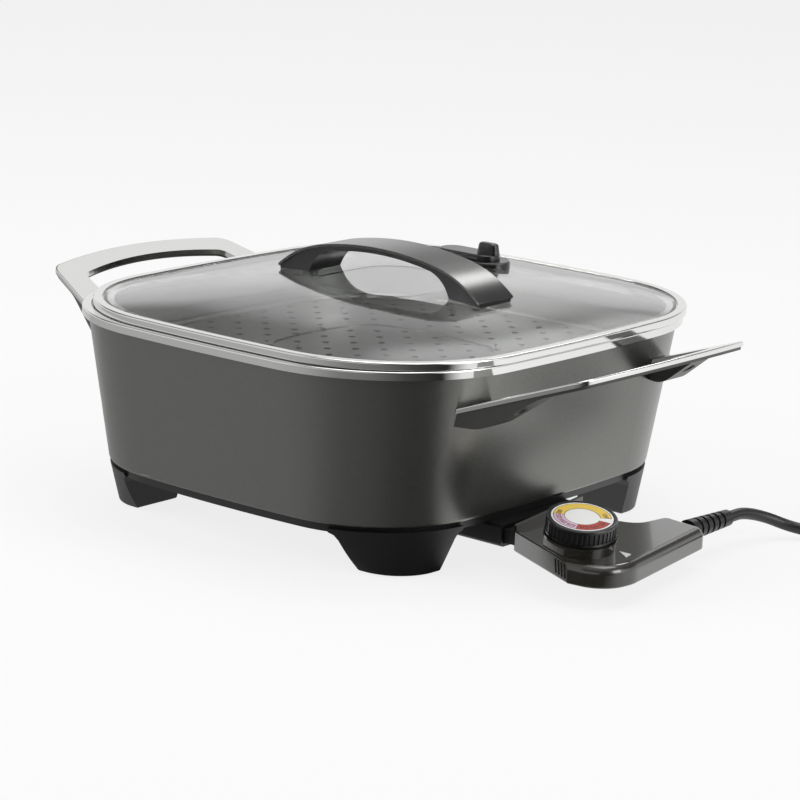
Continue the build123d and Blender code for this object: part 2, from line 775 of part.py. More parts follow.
with BuildPart() as right_screws:
    with BuildSketch(Plane.XY.offset(screw_seat_low)):
        with Locations(*handle_screw_spots):
            Circle(handle_screw_head)
    extrude(amount=-handle_screw_head_height)
    with BuildSketch(Plane.XY.offset(screw_seat_low)):
        with Locations(*handle_screw_spots):
            Circle(handle_screw_radius)
    extrude(amount=screw_top - screw_seat_low - hole_gap)

with BuildPart() as right_studs:
    with BuildSketch(Plane.YZ.offset(stud_wall_x - stud_root)):
        with Locations(*stud_spots):
            Circle(stud_radius)
    extrude(amount=stud_root + stud_length - hole_gap)
    add(pan_envelope.part, mode=Mode.SUBTRACT)

for side, piece in (("plate", right_plate), ("grip", right_grip)):
    with BuildPart() as left_piece:
        mirror(piece.part, about=Plane.YZ)
    finish(piece, f"handle_{side}_right")
    finish(left_piece, f"handle_{side}_left")

for label, pieces in (("handle_screws", right_screws), ("handle_studs", right_studs)):
    with BuildPart() as both_sides:
        add(pieces.part)
        mirror(pieces.part, about=Plane.YZ)
    finish(both_sides, label)

# ================================================================ steamer tray
tray_z = tray_step_z + running_gap
tray_half_x, tray_half_y, tray_corner = (size - upper_wall - tray_gap for size in wall_half(tray_step_z))


def tray_outline(inset):
    return bowed_outline(tray_half_x - inset, tray_half_y - inset, tray_corner - inset)


def tray_ring(inset):
    return bowed_outline(tray_ring_half_x - inset, tray_ring_half_y - inset, tray_ring_corner - inset)


def inside_tray(x, y):
    """Whether a hole stands clear of the tray's bead."""
    half_x, half_y = tray_half_x - tray_hole_margin, tray_half_y - tray_hole_margin
    corner = tray_corner - tray_hole_margin
    over_x, over_y = abs(x) - (half_x - corner), abs(y) - (half_y - corner)
    if over_x > 0 and over_y > 0:
        return hypot(over_x, over_y) < corner
    return abs(x) < half_x and abs(y) < half_y


rows = ceil(max(tray_half_x, tray_half_y) / tray_hole_pitch)
tray_holes = []
for shift in (0.0, 0.5):
    for i in range(-rows, rows + 1):
        for j in range(-rows, rows + 1):
            spot = ((i + shift) * tray_hole_pitch, (j + shift) * tray_hole_pitch)
            if inside_tray(*spot):
                tray_holes.append(spot)

with BuildPart() as steamer_tray:
    with BuildSketch(Plane.XY.offset(tray_z)):
        add(tray_outline(0))
    extrude(amount=tray_sheet)
    with BuildSketch(Plane.XY.offset(tray_z + tray_sheet)):
        add(tray_outline(tray_bead_inset))
        add(tray_outline(tray_bead_inset + tray_bead_width), mode=Mode.SUBTRACT)
    extrude(amount=tray_bead_height)
    fillet(steamer_tray.edges().group_by(Axis.Z)[-1], tray_bead_fillet)
    with BuildSketch(Plane.XY.offset(tray_z + tray_sheet)):
        add(tray_ring(0))
        add(tray_ring(tray_ring_width), mode=Mode.SUBTRACT)
    extrude(amount=tray_ring_height)
    with BuildSketch(Plane.XY.offset(tray_z)):
        with Locations(*tray_holes):
            Circle(tray_hole_radius)
    extrude(amount=tray_sheet + tray_ring_height, mode=Mode.SUBTRACT)
finish(steamer_tray, "steamer_tray")

# ================================================================ lid
lid_place = Location((lid_shift_x, lid_shift_y, 0))


def dome(base_z, share):
    """Smooth dome over the lid's plan, drawn in by a share of its size."""
    with BuildPart() as shape:
        for scale, rise in dome_steps:
            size = scale * share
            with BuildSketch(Plane.XY.offset(base_z + rise * dome_height)):
                add(bowed_outline((lid_half_x - dome_inset) * size, (lid_half_y - dome_inset) * size,
                                  (lid_corner - dome_inset) * size, side_bow * size))
        loft()
    return shape.part


glass_top_z = glass_edge_z + glass_thickness       # upper edge of the glass at its rim
upper_dome = dome(glass_top_z, 1.0)
lower_dome = dome(glass_edge_z, dome_inner_share)

with BuildPart() as lid_glass:
    with BuildSketch(Plane.XY.offset(glass_edge_z)):
        add(lid_outline(glass_inset))
    extrude(amount=glass_thickness)
    add(upper_dome)
    add(lower_dome, mode=Mode.SUBTRACT)
    with BuildSketch(Plane.XY.offset(glass_edge_z)):
        with Locations((-lid_screw_x, 0), (lid_screw_x, 0)):
            Circle(lid_screw_radius + glass_hole_gap)
        with Locations((vent_x, vent_y)):
            Circle(vent_stem_radius + glass_hole_gap)
    extrude(amount=dome_height + 2 * glass_thickness, mode=Mode.SUBTRACT)

with BuildPart() as lid_band:
    with BuildSketch(Plane.XY.offset(lid_bottom)):
        add(lid_outline(0))
    extrude(amount=band_height)
    fillet(lid_band.faces().sort_by(Axis.Z)[-1].edges(), band_top_fillet)
    fillet(lid_band.faces().sort_by(Axis.Z)[0].edges(), band_foot_fillet)
    with BuildSketch(Plane.XY.offset(lid_bottom - lip_depth)):
        add(lid_outline(lip_inset))
    extrude(amount=lip_depth + band_sheet)
    with BuildSketch(Plane.XY.offset(lid_bottom + band_sheet)):
        add(lid_outline(band_sheet))
    extrude(amount=band_height - 2 * band_sheet, mode=Mode.SUBTRACT)
    with BuildSketch(Plane.XY.offset(lid_bottom + band_sheet)):
        add(lid_outline(band_cover))
    extrude(amount=band_height, mode=Mode.SUBTRACT)
    with BuildSketch(Plane.XY.offset(lid_bottom - lip_depth)):
        add(lid_outline(lip_inset + band_sheet))
    extrude(amount=lip_depth + band_height, mode=Mode.SUBTRACT)

with BuildPart() as lid_seal:
    with BuildSketch(Plane.XY.offset(lid_bottom + band_sheet)):
        add(lid_outline(band_sheet))
        add(lid_outline(band_cover), mode=Mode.SUBTRACT)
    extrude(amount=band_height - 2 * band_sheet)
    add(lid_glass.part, mode=Mode.SUBTRACT)


def arch_line(half, foot_z, shoulder_half, shoulder_z, crown_z):
    """Arched line across the lid: a flat crown with a tangent leg at each end."""
    crown = ThreePointArc((-shoulder_half, shoulder_z), (0, crown_z), (shoulder_half, shoulder_z))
    TangentArc((shoulder_half, shoulder_z), (half, foot_z), tangent=crown % 1)
    TangentArc((-shoulder_half, shoulder_z), (-half, foot_z), tangent=(crown % 0) * -1)


with BuildPart() as handle_strap:
    with BuildSketch(Plane.XZ.offset(-strap_width / 2)):
        with BuildLine():
            arch_line(arch_half, arch_foot_z, arch_shoulder_half, arch_shoulder_z, arch_crown_z)
        trace(line_width=strap_thickness)
    extrude(amount=strap_width)
    add(upper_dome, mode=Mode.SUBTRACT)

with BuildPart() as handle_liner:
    with BuildSketch(Plane.XZ.offset(-liner_width / 2)):
        with BuildLine():
            arch_line(arch_half, arch_foot_z, arch_shoulder_half, arch_shoulder_z, arch_crown_z)
            Polyline((-arch_half, arch_foot_z), (-arch_half + liner_leg_lean, glass_top_z),
                     (arch_half - liner_leg_lean, glass_top_z), (arch_half, arch_foot_z))
        make_face()
        with BuildSketch(mode=Mode.PRIVATE) as under_arch:
            with BuildLine():
                arch_line(inner_arch_half, glass_top_z, inner_shoulder_half, inner_shoulder_z,
                          inner_crown_z)
                Line((-inner_arch_half, glass_top_z), (inner_arch_half, glass_top_z))
            make_face()
        add(under_arch.sketch, mode=Mode.SUBTRACT)
    extrude(amount=liner_width)
    add(handle_strap.part, mode=Mode.SUBTRACT)
    add(upper_dome, mode=Mode.SUBTRACT)
    with BuildSketch(Plane.XY.offset(glass_top_z)):
        with Locations((-lid_screw_x, 0), (lid_screw_x, 0)):
            Circle(lid_screw_radius + hole_gap)
    extrude(amount=dome_height + lid_screw_reach, mode=Mode.SUBTRACT)


def glass_rise(x, y):
    """Height of the glass's upper face over its edge at a place on the lid."""
    share = max(abs(x) / (lid_half_x - dome_inset), abs(y) / (lid_half_y - dome_inset))
    steps = sorted(dome_steps)
    if share <= steps[0][0]:
        return dome_height
    for (inner, high), (outer, low) in zip(steps, steps[1:]):
        if share <= outer:
            return dome_height * (high + (low - high) * (share - inner) / (outer - inner))
    return 0.0


screw_glass_z = glass_edge_z + glass_rise(lid_screw_x, 0)
screw_seat_z = screw_glass_z - washer_height - washer_squeeze
with BuildPart() as lid_washers:
    with BuildSketch(Plane.XY.offset(screw_seat_z)):
        with Locations((-lid_screw_x, 0), (lid_screw_x, 0)):
            Circle(washer_radius)
            Circle(lid_screw_radius + hole_gap, mode=Mode.SUBTRACT)
    extrude(amount=2 * washer_height)
    add(lid_glass.part, mode=Mode.SUBTRACT)

with BuildPart() as lid_screws:
    with BuildSketch(Plane.XY.offset(screw_seat_z)):
        with Locations((-lid_screw_x, 0), (lid_screw_x, 0)):
            Circle(lid_screw_head)
    extrude(amount=-lid_screw_head_height)
    fillet(lid_screws.edges().group_by(Axis.Z)[0], lid_screw_head_fillet)
    with BuildSketch(Plane.XY.offset(screw_seat_z)):
        with Locations((-lid_screw_x, 0), (lid_screw_x, 0)):
            Circle(lid_screw_radius)
    extrude(amount=glass_thickness + lid_screw_reach)

# ---------------------------------------------------------------- vent
vent_glass_z = glass_top_z + glass_rise(vent_x, vent_y)
vent_base_z = vent_glass_z - vent_base_sink
vent_top_z = vent_base_z + vent_base_height
vent_under_z = vent_glass_z - glass_thickness - vent_nut_gap
with BuildPart() as vent_base:
    with BuildSketch(Plane.XY.offset(glass_top_z)):
        with Locations((vent_x, vent_y)):
            SlotOverall(vent_length, vent_width)
    extrude(amount=vent_top_z - glass_top_z)
    fillet(vent_base.edges().group_by(Axis.Z)[-1], vent_edge_fillet)
    add(upper_dome, mode=Mode.SUBTRACT)
    with BuildSketch(Plane.XY.offset(vent_under_z - vent_nut_height)):
        with Locations((vent_x, vent_y)):
            Circle(vent_stem_radius)
    extrude(amount=vent_top_z - vent_cap - (vent_under_z - vent_nut_height))
    with BuildSketch(Plane.XY.offset(vent_under_z - vent_nut_height)):
        with Locations((vent_x, vent_y)):
            Circle(vent_pin_radius + running_gap)
        with Locations((vent_x - vent_hole_offset, vent_y)):
            Circle(vent_hole_radius)
    extrude(amount=vent_base_height + 4 * glass_thickness, mode=Mode.SUBTRACT)

with BuildPart() as vent_nut:
    with BuildSketch(Plane.XY.offset(vent_under_z - vent_nut_height)):
        with Locations((vent_x, vent_y)):
            RegularPolygon(vent_nut_radius, 6)
            Circle(vent_stem_radius + hole_gap, mode=Mode.SUBTRACT)
    extrude(amount=vent_nut_height)

lever_z = vent_top_z + running_gap
with BuildPart() as vent_lever:
    with BuildSketch(Plane.XY.offset(lever_z)):
        with Locations((vent_x, vent_y)):
            SlotOverall(lever_length, lever_width)
    extrude(amount=lever_height)
    fillet(vent_lever.edges().group_by(Axis.Z)[-1], vent_edge_fillet)
    with BuildSketch(Plane.XY.offset(lever_z + lever_height)):
        with Locations((vent_x + lever_tab_x, vent_y)):
            SlotOverall(lever_tab_length, lever_tab_width)
    extrude(amount=lever_tab_height, taper=lever_tab_draft)
    fillet(vent_lever.edges().group_by(Axis.Z)[-1], lever_tab_fillet)
    with BuildSketch(Plane.XY.offset(lever_z)):
        with Locations((vent_x, vent_y)):
            Circle(vent_pin_radius)
    extrude(amount=-(vent_top_z - vent_under_z + vent_nut_height))

for label, pieces in (
    ("lid_glass", lid_glass), ("lid_band", lid_band), ("lid_seal", lid_seal),
    ("lid_handle_strap", handle_strap), ("lid_handle_liner", handle_liner),
    ("lid_handle_washers", lid_washers), ("lid_handle_screws", lid_screws),
    ("vent_base", vent_base), ("vent_nut", vent_nut), ("vent_lever", vent_lever),
):
    with BuildPart() as placed:
        add(pieces.part.moved(lid_place))
    finish(placed, label)

# ================================================================ temperature control
def rounded_polygon(corners):
    """Face with straight sides, each corner rounded by its own radius: (x, y, radius)."""
    with BuildSketch() as outline:
        with BuildLine():
            Polyline(*[(x, y) for x, y, _ in corners], close=True)
        make_face()
        for x, y, radius in corners:
            if radius:
                fillet(outline.vertices().sort_by_distance((x, y))[0], radius)
    return outline.sketch


def run_past(corner, last):
    """Sharp corner further out on the line through two corners."""
    step = Vector(last[0] - corner[0], last[1] - corner[1]).normalized() * case_side_run
    return last[0] + step.X, last[1] + step.Y, 0.0


case_places = [(*case_point(place), place[2]) for place in case_corners]
front_end, front, flank, lobe = case_places[:4]
back = case_places[-1]
with BuildSketch() as case_plan:
    add(rounded_polygon(case_places))
with BuildSketch() as case_room:                       # the hollow inside the walls
    add(case_plan.sketch)
    offset(amount=-case_wall)
with BuildSketch() as side_plan:                       # follows the case's rounded side only
    add(rounded_polygon([run_past(lobe, flank)] + case_places[3:] + [run_past(back, front_end)]))

lean_x = sin(radians(dial_lean)) * cos(radians(dial_lean_heading))
lean_y = sin(radians(dial_lean)) * sin(radians(dial_lean_heading))
dial_axis = Vector(lean_x, lean_y, cos(radians(dial_lean)))
dial_top = Vector(dial_x, dial_y, dial_top_z)


def dial_plane(depth):
    """Plane square to the dial's axis, some way below its top face."""
    return Plane(origin=dial_top - dial_axis * depth, z_dir=dial_axis)


def case_slab(low, high):
    """Everything on the control between two heights."""
    with BuildPart() as slab:
        with BuildSketch(Plane.XY.offset(low)):
            add(case_plan.sketch)
            offset(amount=knob_radius)
        extrude(amount=high - low)
    return slab.part


collar_depth = knob_height + ring_height
turret_depth = collar_depth + collar_height

flank_line = Vector(front[0] - flank[0], front[1] - flank[1]).normalized()
flank_plane = Plane(origin=(flank[0], flank[1], case_split_z), x_dir=flank_line,
                    z_dir=(-flank_line.Y, flank_line.X, 0))
with BuildPart() as flank_grips:                       # ribs for the fingers, through the wall's skin
    with BuildSketch(flank_plane.offset(-case_wall / 2)):
        with Locations(*[(flank_rib_inset + rib * flank_rib_pitch, 0) for rib in range(flank_ribs)]):
            Rectangle(flank_rib_width, flank_rib_height, rotation=flank_rib_lean)
    extrude(amount=case_wall / 2 + flank_rib_depth)

with BuildPart() as front_ridge:                       # rises along the edge next to the pan
    with BuildSketch(Plane.XY.offset(case_split_z)):
        Polygon(front_end[:2], front[:2], (front[0] + ridge_width, front[1]),
                (front_end[0] + ridge_width, front_end[1]), align=None)
        add(case_plan.sketch, mode=Mode.INTERSECT)
    extrude(amount=ridge_far_z)
    with BuildSketch(Plane.YZ.offset(guard_mouth_x)):
        Polygon((front[1], case_split_z), (front_end[1], case_split_z), (front_end[1], ridge_far_z),
                (front[1], ridge_near_z), align=None)
    extrude(amount=case_side_run, mode=Mode.INTERSECT)

with BuildPart() as turret:                            # carries the dial, flush behind the flank
    with BuildSketch(Plane.XY.offset(case_split_z)):
        add(case_plan.sketch)
        offset(amount=-turret_inset)
    extrude(amount=dial_top_z - case_split_z)
    with BuildSketch(dial_plane(turret_depth)):
        Circle(turret_radius)
    extrude(amount=-(dial_top_z - case_low_z), mode=Mode.INTERSECT)
    with BuildSketch(dial_plane(turret_depth)):
        Circle(turret_radius + turret_flange_reach)
    extrude(amount=-turret_flange)

with BuildPart() as cover_shape:                       # the case above its parting line
    with BuildSketch(Plane.XY.offset(case_split_z)):
        add(case_plan.sketch)
    extrude(amount=case_top_z - case_split_z)
    fillet(cover_shape.faces().sort_by(Axis.Z)[-1].edges(), case_edge_fillet)

with BuildPart() as side_shape:
    with BuildSketch(Plane.XY.offset(case_split_z)):
        add(side_plan.sketch)
    extrude(amount=case_top_z - case_split_z)
    fillet(side_shape.faces().sort_by(Axis.Z)[-1].edges(), case_side_fillet)

relief_root_plane = Plane(origin=(relief_x, relief_y, relief_z), z_dir=(0, 1, 0))
with BuildPart() as relief_hole:
    with BuildSketch(relief_root_plane.offset(-relief_stem - case_wall)):
        Circle(relief_neck + hole_gap)
    extrude(amount=relief_stem + 2 * case_wall)

nose_low = guard_low_z + guard_wall + nose_gap
nose_high = skirt_low - guard_wall - nose_gap
nose_half = guard_half_width - guard_wall - nose_gap
nose_middle = (control_y, (nose_low + nose_high) / 2)
with BuildPart() as nose_slot:
    with BuildSketch(Plane.YZ.offset(front_end[0] - nose_slot_room)):
        with Locations(nose_middle):
            Rectangle(2 * nose_half, nose_high - nose_low)
    extrude(amount=2 * nose_slot_room)

screw_places = [case_point(place) for place in case_screws]
with BuildPart() as control_cover:
    add(cover_shape.part)
    add(side_shape.part, mode=Mode.INTERSECT)
    add(front_ridge.part)
    add(turret.part)
    add(flank_grips.part)
    add(case_slab(case_split_z, dial_top_z), mode=Mode.INTERSECT)
    with BuildSketch(Plane.XY.offset(case_split_z)):
        add(case_room.sketch)
    extrude(amount=case_top_z - case_wall - case_split_z, mode=Mode.SUBTRACT)
    with BuildSketch(dial_plane(turret_depth + turret_roof)):
        Circle(turret_hollow)
    extrude(amount=-turret_hollow, mode=Mode.SUBTRACT)
    with BuildSketch(dial_plane(turret_depth)):
        Circle(turret_radius - turret_lip)
    extrude(amount=-turret_recess, mode=Mode.SUBTRACT)
    with BuildSketch(dial_plane(turret_depth)):
        Circle(shaft_radius + running_gap)
    extrude(amount=-shaft_length, mode=Mode.SUBTRACT)
    with BuildSketch(Plane.XY.offset(case_split_z)):
        with Locations(*screw_places):
            Circle(case_screw_radius + case_post_wall)
    extrude(amount=case_top_z - case_wall - case_split_z)
    with BuildSketch(Plane.XY.offset(case_split_z)):
        with Locations(*screw_places):
            Circle(case_screw_radius + hole_gap)
    extrude(amount=case_screw_bite + hole_gap, mode=Mode.SUBTRACT)
    add(nose_slot.part, mode=Mode.SUBTRACT)
    add(relief_hole.part, mode=Mode.SUBTRACT)
finish(control_cover, "control_cover")

with BuildPart() as control_base:
    with BuildSketch(Plane.XY.offset(case_low_z)):
        add(case_plan.sketch)
    extrude(amount=case_split_z - case_low_z)
    fillet(control_base.faces().sort_by(Axis.Z)[0].edges(), case_foot_fillet)
    add(flank_grips.part)
    add(case_slab(case_low_z, case_split_z), mode=Mode.INTERSECT)
    with BuildSketch(Plane.XY.offset(case_low_z + case_wall)):
        add(case_room.sketch)
    extrude(amount=case_split_z, mode=Mode.SUBTRACT)
    with BuildSketch(Plane.XY.offset(case_low_z)):
        with Locations(*screw_places):
            Circle(case_screw_radius + case_post_wall)
    extrude(amount=case_split_z - case_low_z)
    with BuildSketch(Plane.XY.offset(case_low_z)):
        with Locations(*screw_places):
            Circle(case_screw_radius + hole_gap)
    extrude(amount=case_split_z - case_low_z, mode=Mode.SUBTRACT)
    with BuildSketch(Plane.XY.offset(case_low_z)):
        with Locations(*screw_places):
            Circle(case_screw_head + hole_gap)
    extrude(amount=case_screw_recess, mode=Mode.SUBTRACT)
    add(nose_slot.part, mode=Mode.SUBTRACT)
    add(relief_hole.part, mode=Mode.SUBTRACT)
finish(control_base, "control_base")

case_seat_z = case_low_z + case_screw_recess
with BuildPart() as control_screws:
    with BuildSketch(Plane.XY.offset(case_seat_z)):
        with Locations(*screw_places):
            Circle(case_screw_head)
    extrude(amount=-case_screw_head_height)
    with BuildSketch(Plane.XY.offset(case_seat_z)):
        with Locations(*screw_places):
            Circle(case_screw_radius)
    extrude(amount=case_split_z - case_seat_z + case_screw_bite)
finish(control_screws, "control_screws")

nose_front_x = guard_mouth_x - nose_reach
bore_end_x = pin_start_x + pin_length + nose_bore_end
with BuildPart() as control_nose:
    with BuildSketch(Plane.YZ.offset(nose_front_x)):
        with Locations(nose_middle):
            Rectangle(2 * nose_half - 2 * hole_gap, nose_high - nose_low - 2 * hole_gap)
    extrude(amount=nose_reach + nose_depth)
    fillet(control_nose.edges().group_by(Axis.X)[0], nose_edge_fillet)
    with BuildSketch(Plane.YZ.offset(nose_front_x)):
        with Locations(*pin_spots):
            Circle(pin_radius + sleeve_wall + running_gap + hole_gap)
        with Locations((control_y, socket_z)):
            Circle(probe_radius + hole_gap)
    extrude(amount=bore_end_x - nose_front_x, mode=Mode.SUBTRACT)
finish(control_nose, "control_nose")

with BuildPart() as contact_sleeves:
    with BuildSketch(Plane.YZ.offset(nose_front_x + sleeve_start)):
        with Locations(*pin_spots):
            Circle(pin_radius + running_gap + sleeve_wall)
            Circle(pin_radius + running_gap, mode=Mode.SUBTRACT)
    extrude(amount=bore_end_x - bore_floor_gap - nose_front_x - sleeve_start)
finish(contact_sleeves, "contact_sleeves")

with BuildPart() as probe_rod:
    probe_tip_x = well_start_x + well_end_wall + probe_tip_gap
    with BuildSketch(Plane.YZ.offset(probe_tip_x)):
        with Locations((control_y, socket_z)):
            Circle(probe_radius)
    extrude(amount=bore_end_x - bore_floor_gap - probe_tip_x)
    fillet(probe_rod.edges().group_by(Axis.X)[0], probe_tip_fillet)
finish(probe_rod, "probe_rod")

block_z = case_low_z + case_wall
block_x, block_y = case_point(block_place)
with BuildPart() as thermostat_block:
    with BuildSketch(Plane.XY.offset(block_z)):
        with Locations((block_x, block_y)):
            Rectangle(block_length, block_width)
    extrude(amount=block_height)
    fillet(thermostat_block.edges().filter_by(Axis.Z), block_fillet)
finish(thermostat_block, "thermostat_block")

with BuildPart() as bimetal_blades:
    with BuildSketch(Plane.XY.offset(block_z + block_height)):
        with Locations((block_x - bimetal_pitch / 2, block_y), (block_x + bimetal_pitch / 2, block_y)):
            Rectangle(bimetal_width, bimetal_length)
    extrude(amount=bimetal_sheet)
finish(bimetal_blades, "bimetal_blades")

# ---------------------------------------------------------------- dial
with BuildPart() as dial_knob:
    with BuildSketch(dial_plane(knob_height)):
        Circle(knob_radius)
    extrude(amount=knob_height)
    rim_edge = dial_knob.edges().filter_by(GeomType.CIRCLE).group_by(SortBy.LENGTH)[-1].sort_by(Axis.Z)[-1:]
    fillet(rim_edge, knob_top_fillet)
    with BuildSketch(dial_plane(scale_recess)):
        Circle(scale_radius + scale_gap)
    extrude(amount=scale_recess, mode=Mode.SUBTRACT)
    with BuildSketch(dial_plane(knob_height)):
        with PolarLocations(knob_radius + rib_groove, knob_ribs):
            Circle(rib_depth + rib_groove)
    extrude(amount=knob_height - knob_smooth_band, mode=Mode.SUBTRACT)
    with BuildSketch(dial_plane(knob_height)):
        Circle(shaft_radius + hole_gap)
    extrude(amount=knob_height - shaft_cover, mode=Mode.SUBTRACT)
finish(dial_knob, "dial_knob")

with BuildPart() as dial_scale:
    with BuildSketch(dial_plane(scale_recess)):
        Circle(scale_radius)
    extrude(amount=scale_recess - scale_sink)
finish(dial_scale, "dial_scale")

with BuildPart() as dial_ring:
    with BuildSketch(dial_plane(collar_depth)):
        Circle(knob_radius + ring_reach)
        Circle(shaft_radius + hole_gap, mode=Mode.SUBTRACT)
    extrude(amount=ring_height)
finish(dial_ring, "dial_ring")

with BuildPart() as dial_collar:
    with BuildSketch(dial_plane(turret_depth - running_gap)):
        Circle(collar_radius)
        Circle(shaft_radius + hole_gap, mode=Mode.SUBTRACT)
    extrude(amount=collar_height - running_gap)
finish(dial_collar, "dial_collar")

with BuildPart() as dial_shaft:
    with BuildSketch(dial_plane(shaft_cover + hole_gap)):
        Circle(shaft_radius)
    extrude(amount=-shaft_length)
finish(dial_shaft, "dial_shaft")

with BuildPart() as dial_pointer:
    with BuildSketch(Plane.XY.offset(case_top_z)):
        Polygon(*[case_point(place) for place in pointer_corners], align=None)
    extrude(amount=pointer_height)
finish(dial_pointer, "dial_pointer")

# ================================================================ cord
with BuildPart() as strain_relief:
    with BuildSketch(relief_root_plane):
        Circle(relief_root)
    with BuildSketch(relief_root_plane.offset(relief_length)):
        Circle(relief_tip)
    loft()
    with BuildSketch(relief_root_plane):
        Circle(relief_neck)
    extrude(amount=-relief_stem)
    for ring in range(relief_rings):
        depth = relief_ring_start + ring * relief_ring_span / relief_rings
        size = relief_root + (relief_tip - relief_root) * depth / relief_length
        with BuildSketch(relief_root_plane.offset(depth)):
            Circle(relief_root + relief_groove_depth)
            Circle(size - relief_groove_depth, mode=Mode.SUBTRACT)
        extrude(amount=relief_groove_width, mode=Mode.SUBTRACT)
finish(strain_relief, "strain_relief")


def corner_radii(points):
    """Arc radius at each inner point: as large as its two runs allow."""
    radii = []
    for a, b, c in zip(points, points[1:], points[2:]):
        run_in, run_out = Vector(*b) - Vector(*a), Vector(*c) - Vector(*b)
        half_turn = radians(run_in.get_angle(run_out)) / 2
        radii.append(0.45 * min(run_in.length, run_out.length) / tan(half_turn))
    return radii


def tube_path(points):
    radii = corner_radii(points)
    print("cord radii", [round(r, 1) for r in radii])
    with BuildLine() as path:
        FilletPolyline(*points, radius=radii)
    return path.line


first_run = tube_path(cord_route)
last_run = tube_path(tail_route)
with BuildPart() as power_cord:
    for points, path in ((cord_route, first_run), (tail_route, last_run)):
        start = Vector(*points[0])
        with BuildSketch(Plane(origin=start, z_dir=Vector(*points[1]) - start)):
            Circle(cord_diameter / 2)
        sweep(path=path)
finish(power_cord, "power_cord")
cord_section = pi * cord_diameter ** 2 / 4
tube_length = sum(edge.length for run in (first_run, last_run) for edge in run.edges())
print("tube", round(tube_length, 1), "mm, volume", round(power_cord.part.volume),
      "section times length", round(cord_section * tube_length))

coil_near = coil_inner_turn - cord_diameter / 2
coil_far = coil_outer_turn + cord_diameter / 2
with BuildPart() as coil_ring:
    with BuildSketch(Plane.XZ):
        Polygon((coil_near, 0), (coil_far, 0), (coil_far, cord_diameter), (coil_far - cord_diameter / 2,
                coil_height), (coil_near + cord_diameter / 2, coil_height), (coil_near, cord_diameter),
                align=None)
        fillet(vertices(), coil_edge)
    revolve(axis=Axis.Z)
with BuildPart() as cord_coil:
    with Locations((coil_x, coil_y, coil_lift)):
        add(coil_ring.part)
finish(cord_coil, "cord_coil")

tie_turn = radians(tie_angle)
tie_middle = (coil_near + coil_far) / 2
tie_origin = (coil_x + tie_middle * cos(tie_turn), coil_y + tie_middle * sin(tie_turn),
              coil_lift + coil_height / 2)
tie_inner_width = coil_far - coil_near + 2 * tie_gap
tie_inner_height = coil_height + 2 * tie_gap
with BuildPart() as cord_tie:
    with BuildSketch(Plane(origin=tie_origin, x_dir=(cos(tie_turn), sin(tie_turn), 0),
                           z_dir=(-sin(tie_turn), cos(tie_turn), 0))):
        RectangleRounded(tie_inner_width + 2 * tie_sheet, tie_inner_height + 2 * tie_sheet,
                         tie_corner + tie_sheet)
        RectangleRounded(tie_inner_width, tie_inner_height, tie_corner, mode=Mode.SUBTRACT)
    extrude(amount=tie_width / 2, both=True)
finish(cord_tie, "cord_tie")

plug_start = Vector(*tail_route[-1])
plug_axis = (plug_start - Vector(*tail_route[-2])).normalized()
plug_plane = Plane(origin=plug_start, x_dir=(-plug_axis.Y, plug_axis.X, 0), z_dir=plug_axis)
with BuildPart() as power_plug:
    with BuildSketch(plug_plane):
        Circle(cord_diameter / 2 + plug_collar)
    with BuildSketch(plug_plane.offset(plug_nose)):
        RectangleRounded(plug_width - plug_taper, plug_height - plug_taper / 2, plug_corner)
    with BuildSketch(plug_plane.offset(plug_length - plug_shoulder)):
        RectangleRounded(plug_width, plug_height, plug_corner)
    with BuildSketch(plug_plane.offset(plug_length)):
        RectangleRounded(plug_width, plug_height, plug_corner)
    loft(ruled=True)
finish(power_plug, "power_plug")

with BuildPart() as plug_blades:
    with BuildSketch(plug_plane.offset(plug_length)):
        with Locations((-blade_spacing / 2, 0), (blade_spacing / 2, 0)):
            Rectangle(blade_thickness, blade_width)
    extrude(amount=blade_length)
finish(plug_blades, "plug_blades")
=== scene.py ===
import bpy
from math import radians, sin, cos, pi, tau
from mathutils import Matrix, Vector


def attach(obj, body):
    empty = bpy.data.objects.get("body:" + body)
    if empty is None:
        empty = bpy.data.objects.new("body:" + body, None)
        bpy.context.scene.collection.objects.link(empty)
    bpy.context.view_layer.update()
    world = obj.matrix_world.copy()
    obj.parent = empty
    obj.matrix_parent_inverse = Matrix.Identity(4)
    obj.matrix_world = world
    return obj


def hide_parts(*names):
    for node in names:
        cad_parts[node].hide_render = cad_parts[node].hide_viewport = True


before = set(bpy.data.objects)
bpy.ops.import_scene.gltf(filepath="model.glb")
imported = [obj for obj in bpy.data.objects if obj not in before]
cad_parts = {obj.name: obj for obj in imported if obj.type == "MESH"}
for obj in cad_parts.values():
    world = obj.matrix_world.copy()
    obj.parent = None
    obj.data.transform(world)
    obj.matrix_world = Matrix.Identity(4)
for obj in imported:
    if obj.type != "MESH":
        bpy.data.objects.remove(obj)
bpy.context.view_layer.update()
print("frame loaded")

panCentre = Vector((-0.0078, 0.0, 0.0))       # the pan's middle, in the frame


def at(x, y, z):                              # millimetres from the pan's middle to metres in the frame
    return panCentre + Vector((x, y, z)) / 1000.0


def perMetre(width):                          # a pattern's scale from the width in mm of one of its marks
    return 1000.0 / width


def linearColour(hexText):                    # sRGB hex to the linear colour that shaders take
    channels = [int(hexText[i:i + 2], 16) / 255.0 for i in (1, 3, 5)]
    return [c / 12.92 if c <= 0.04045 else ((c + 0.055) / 1.055) ** 2.4 for c in channels] + [1.0]


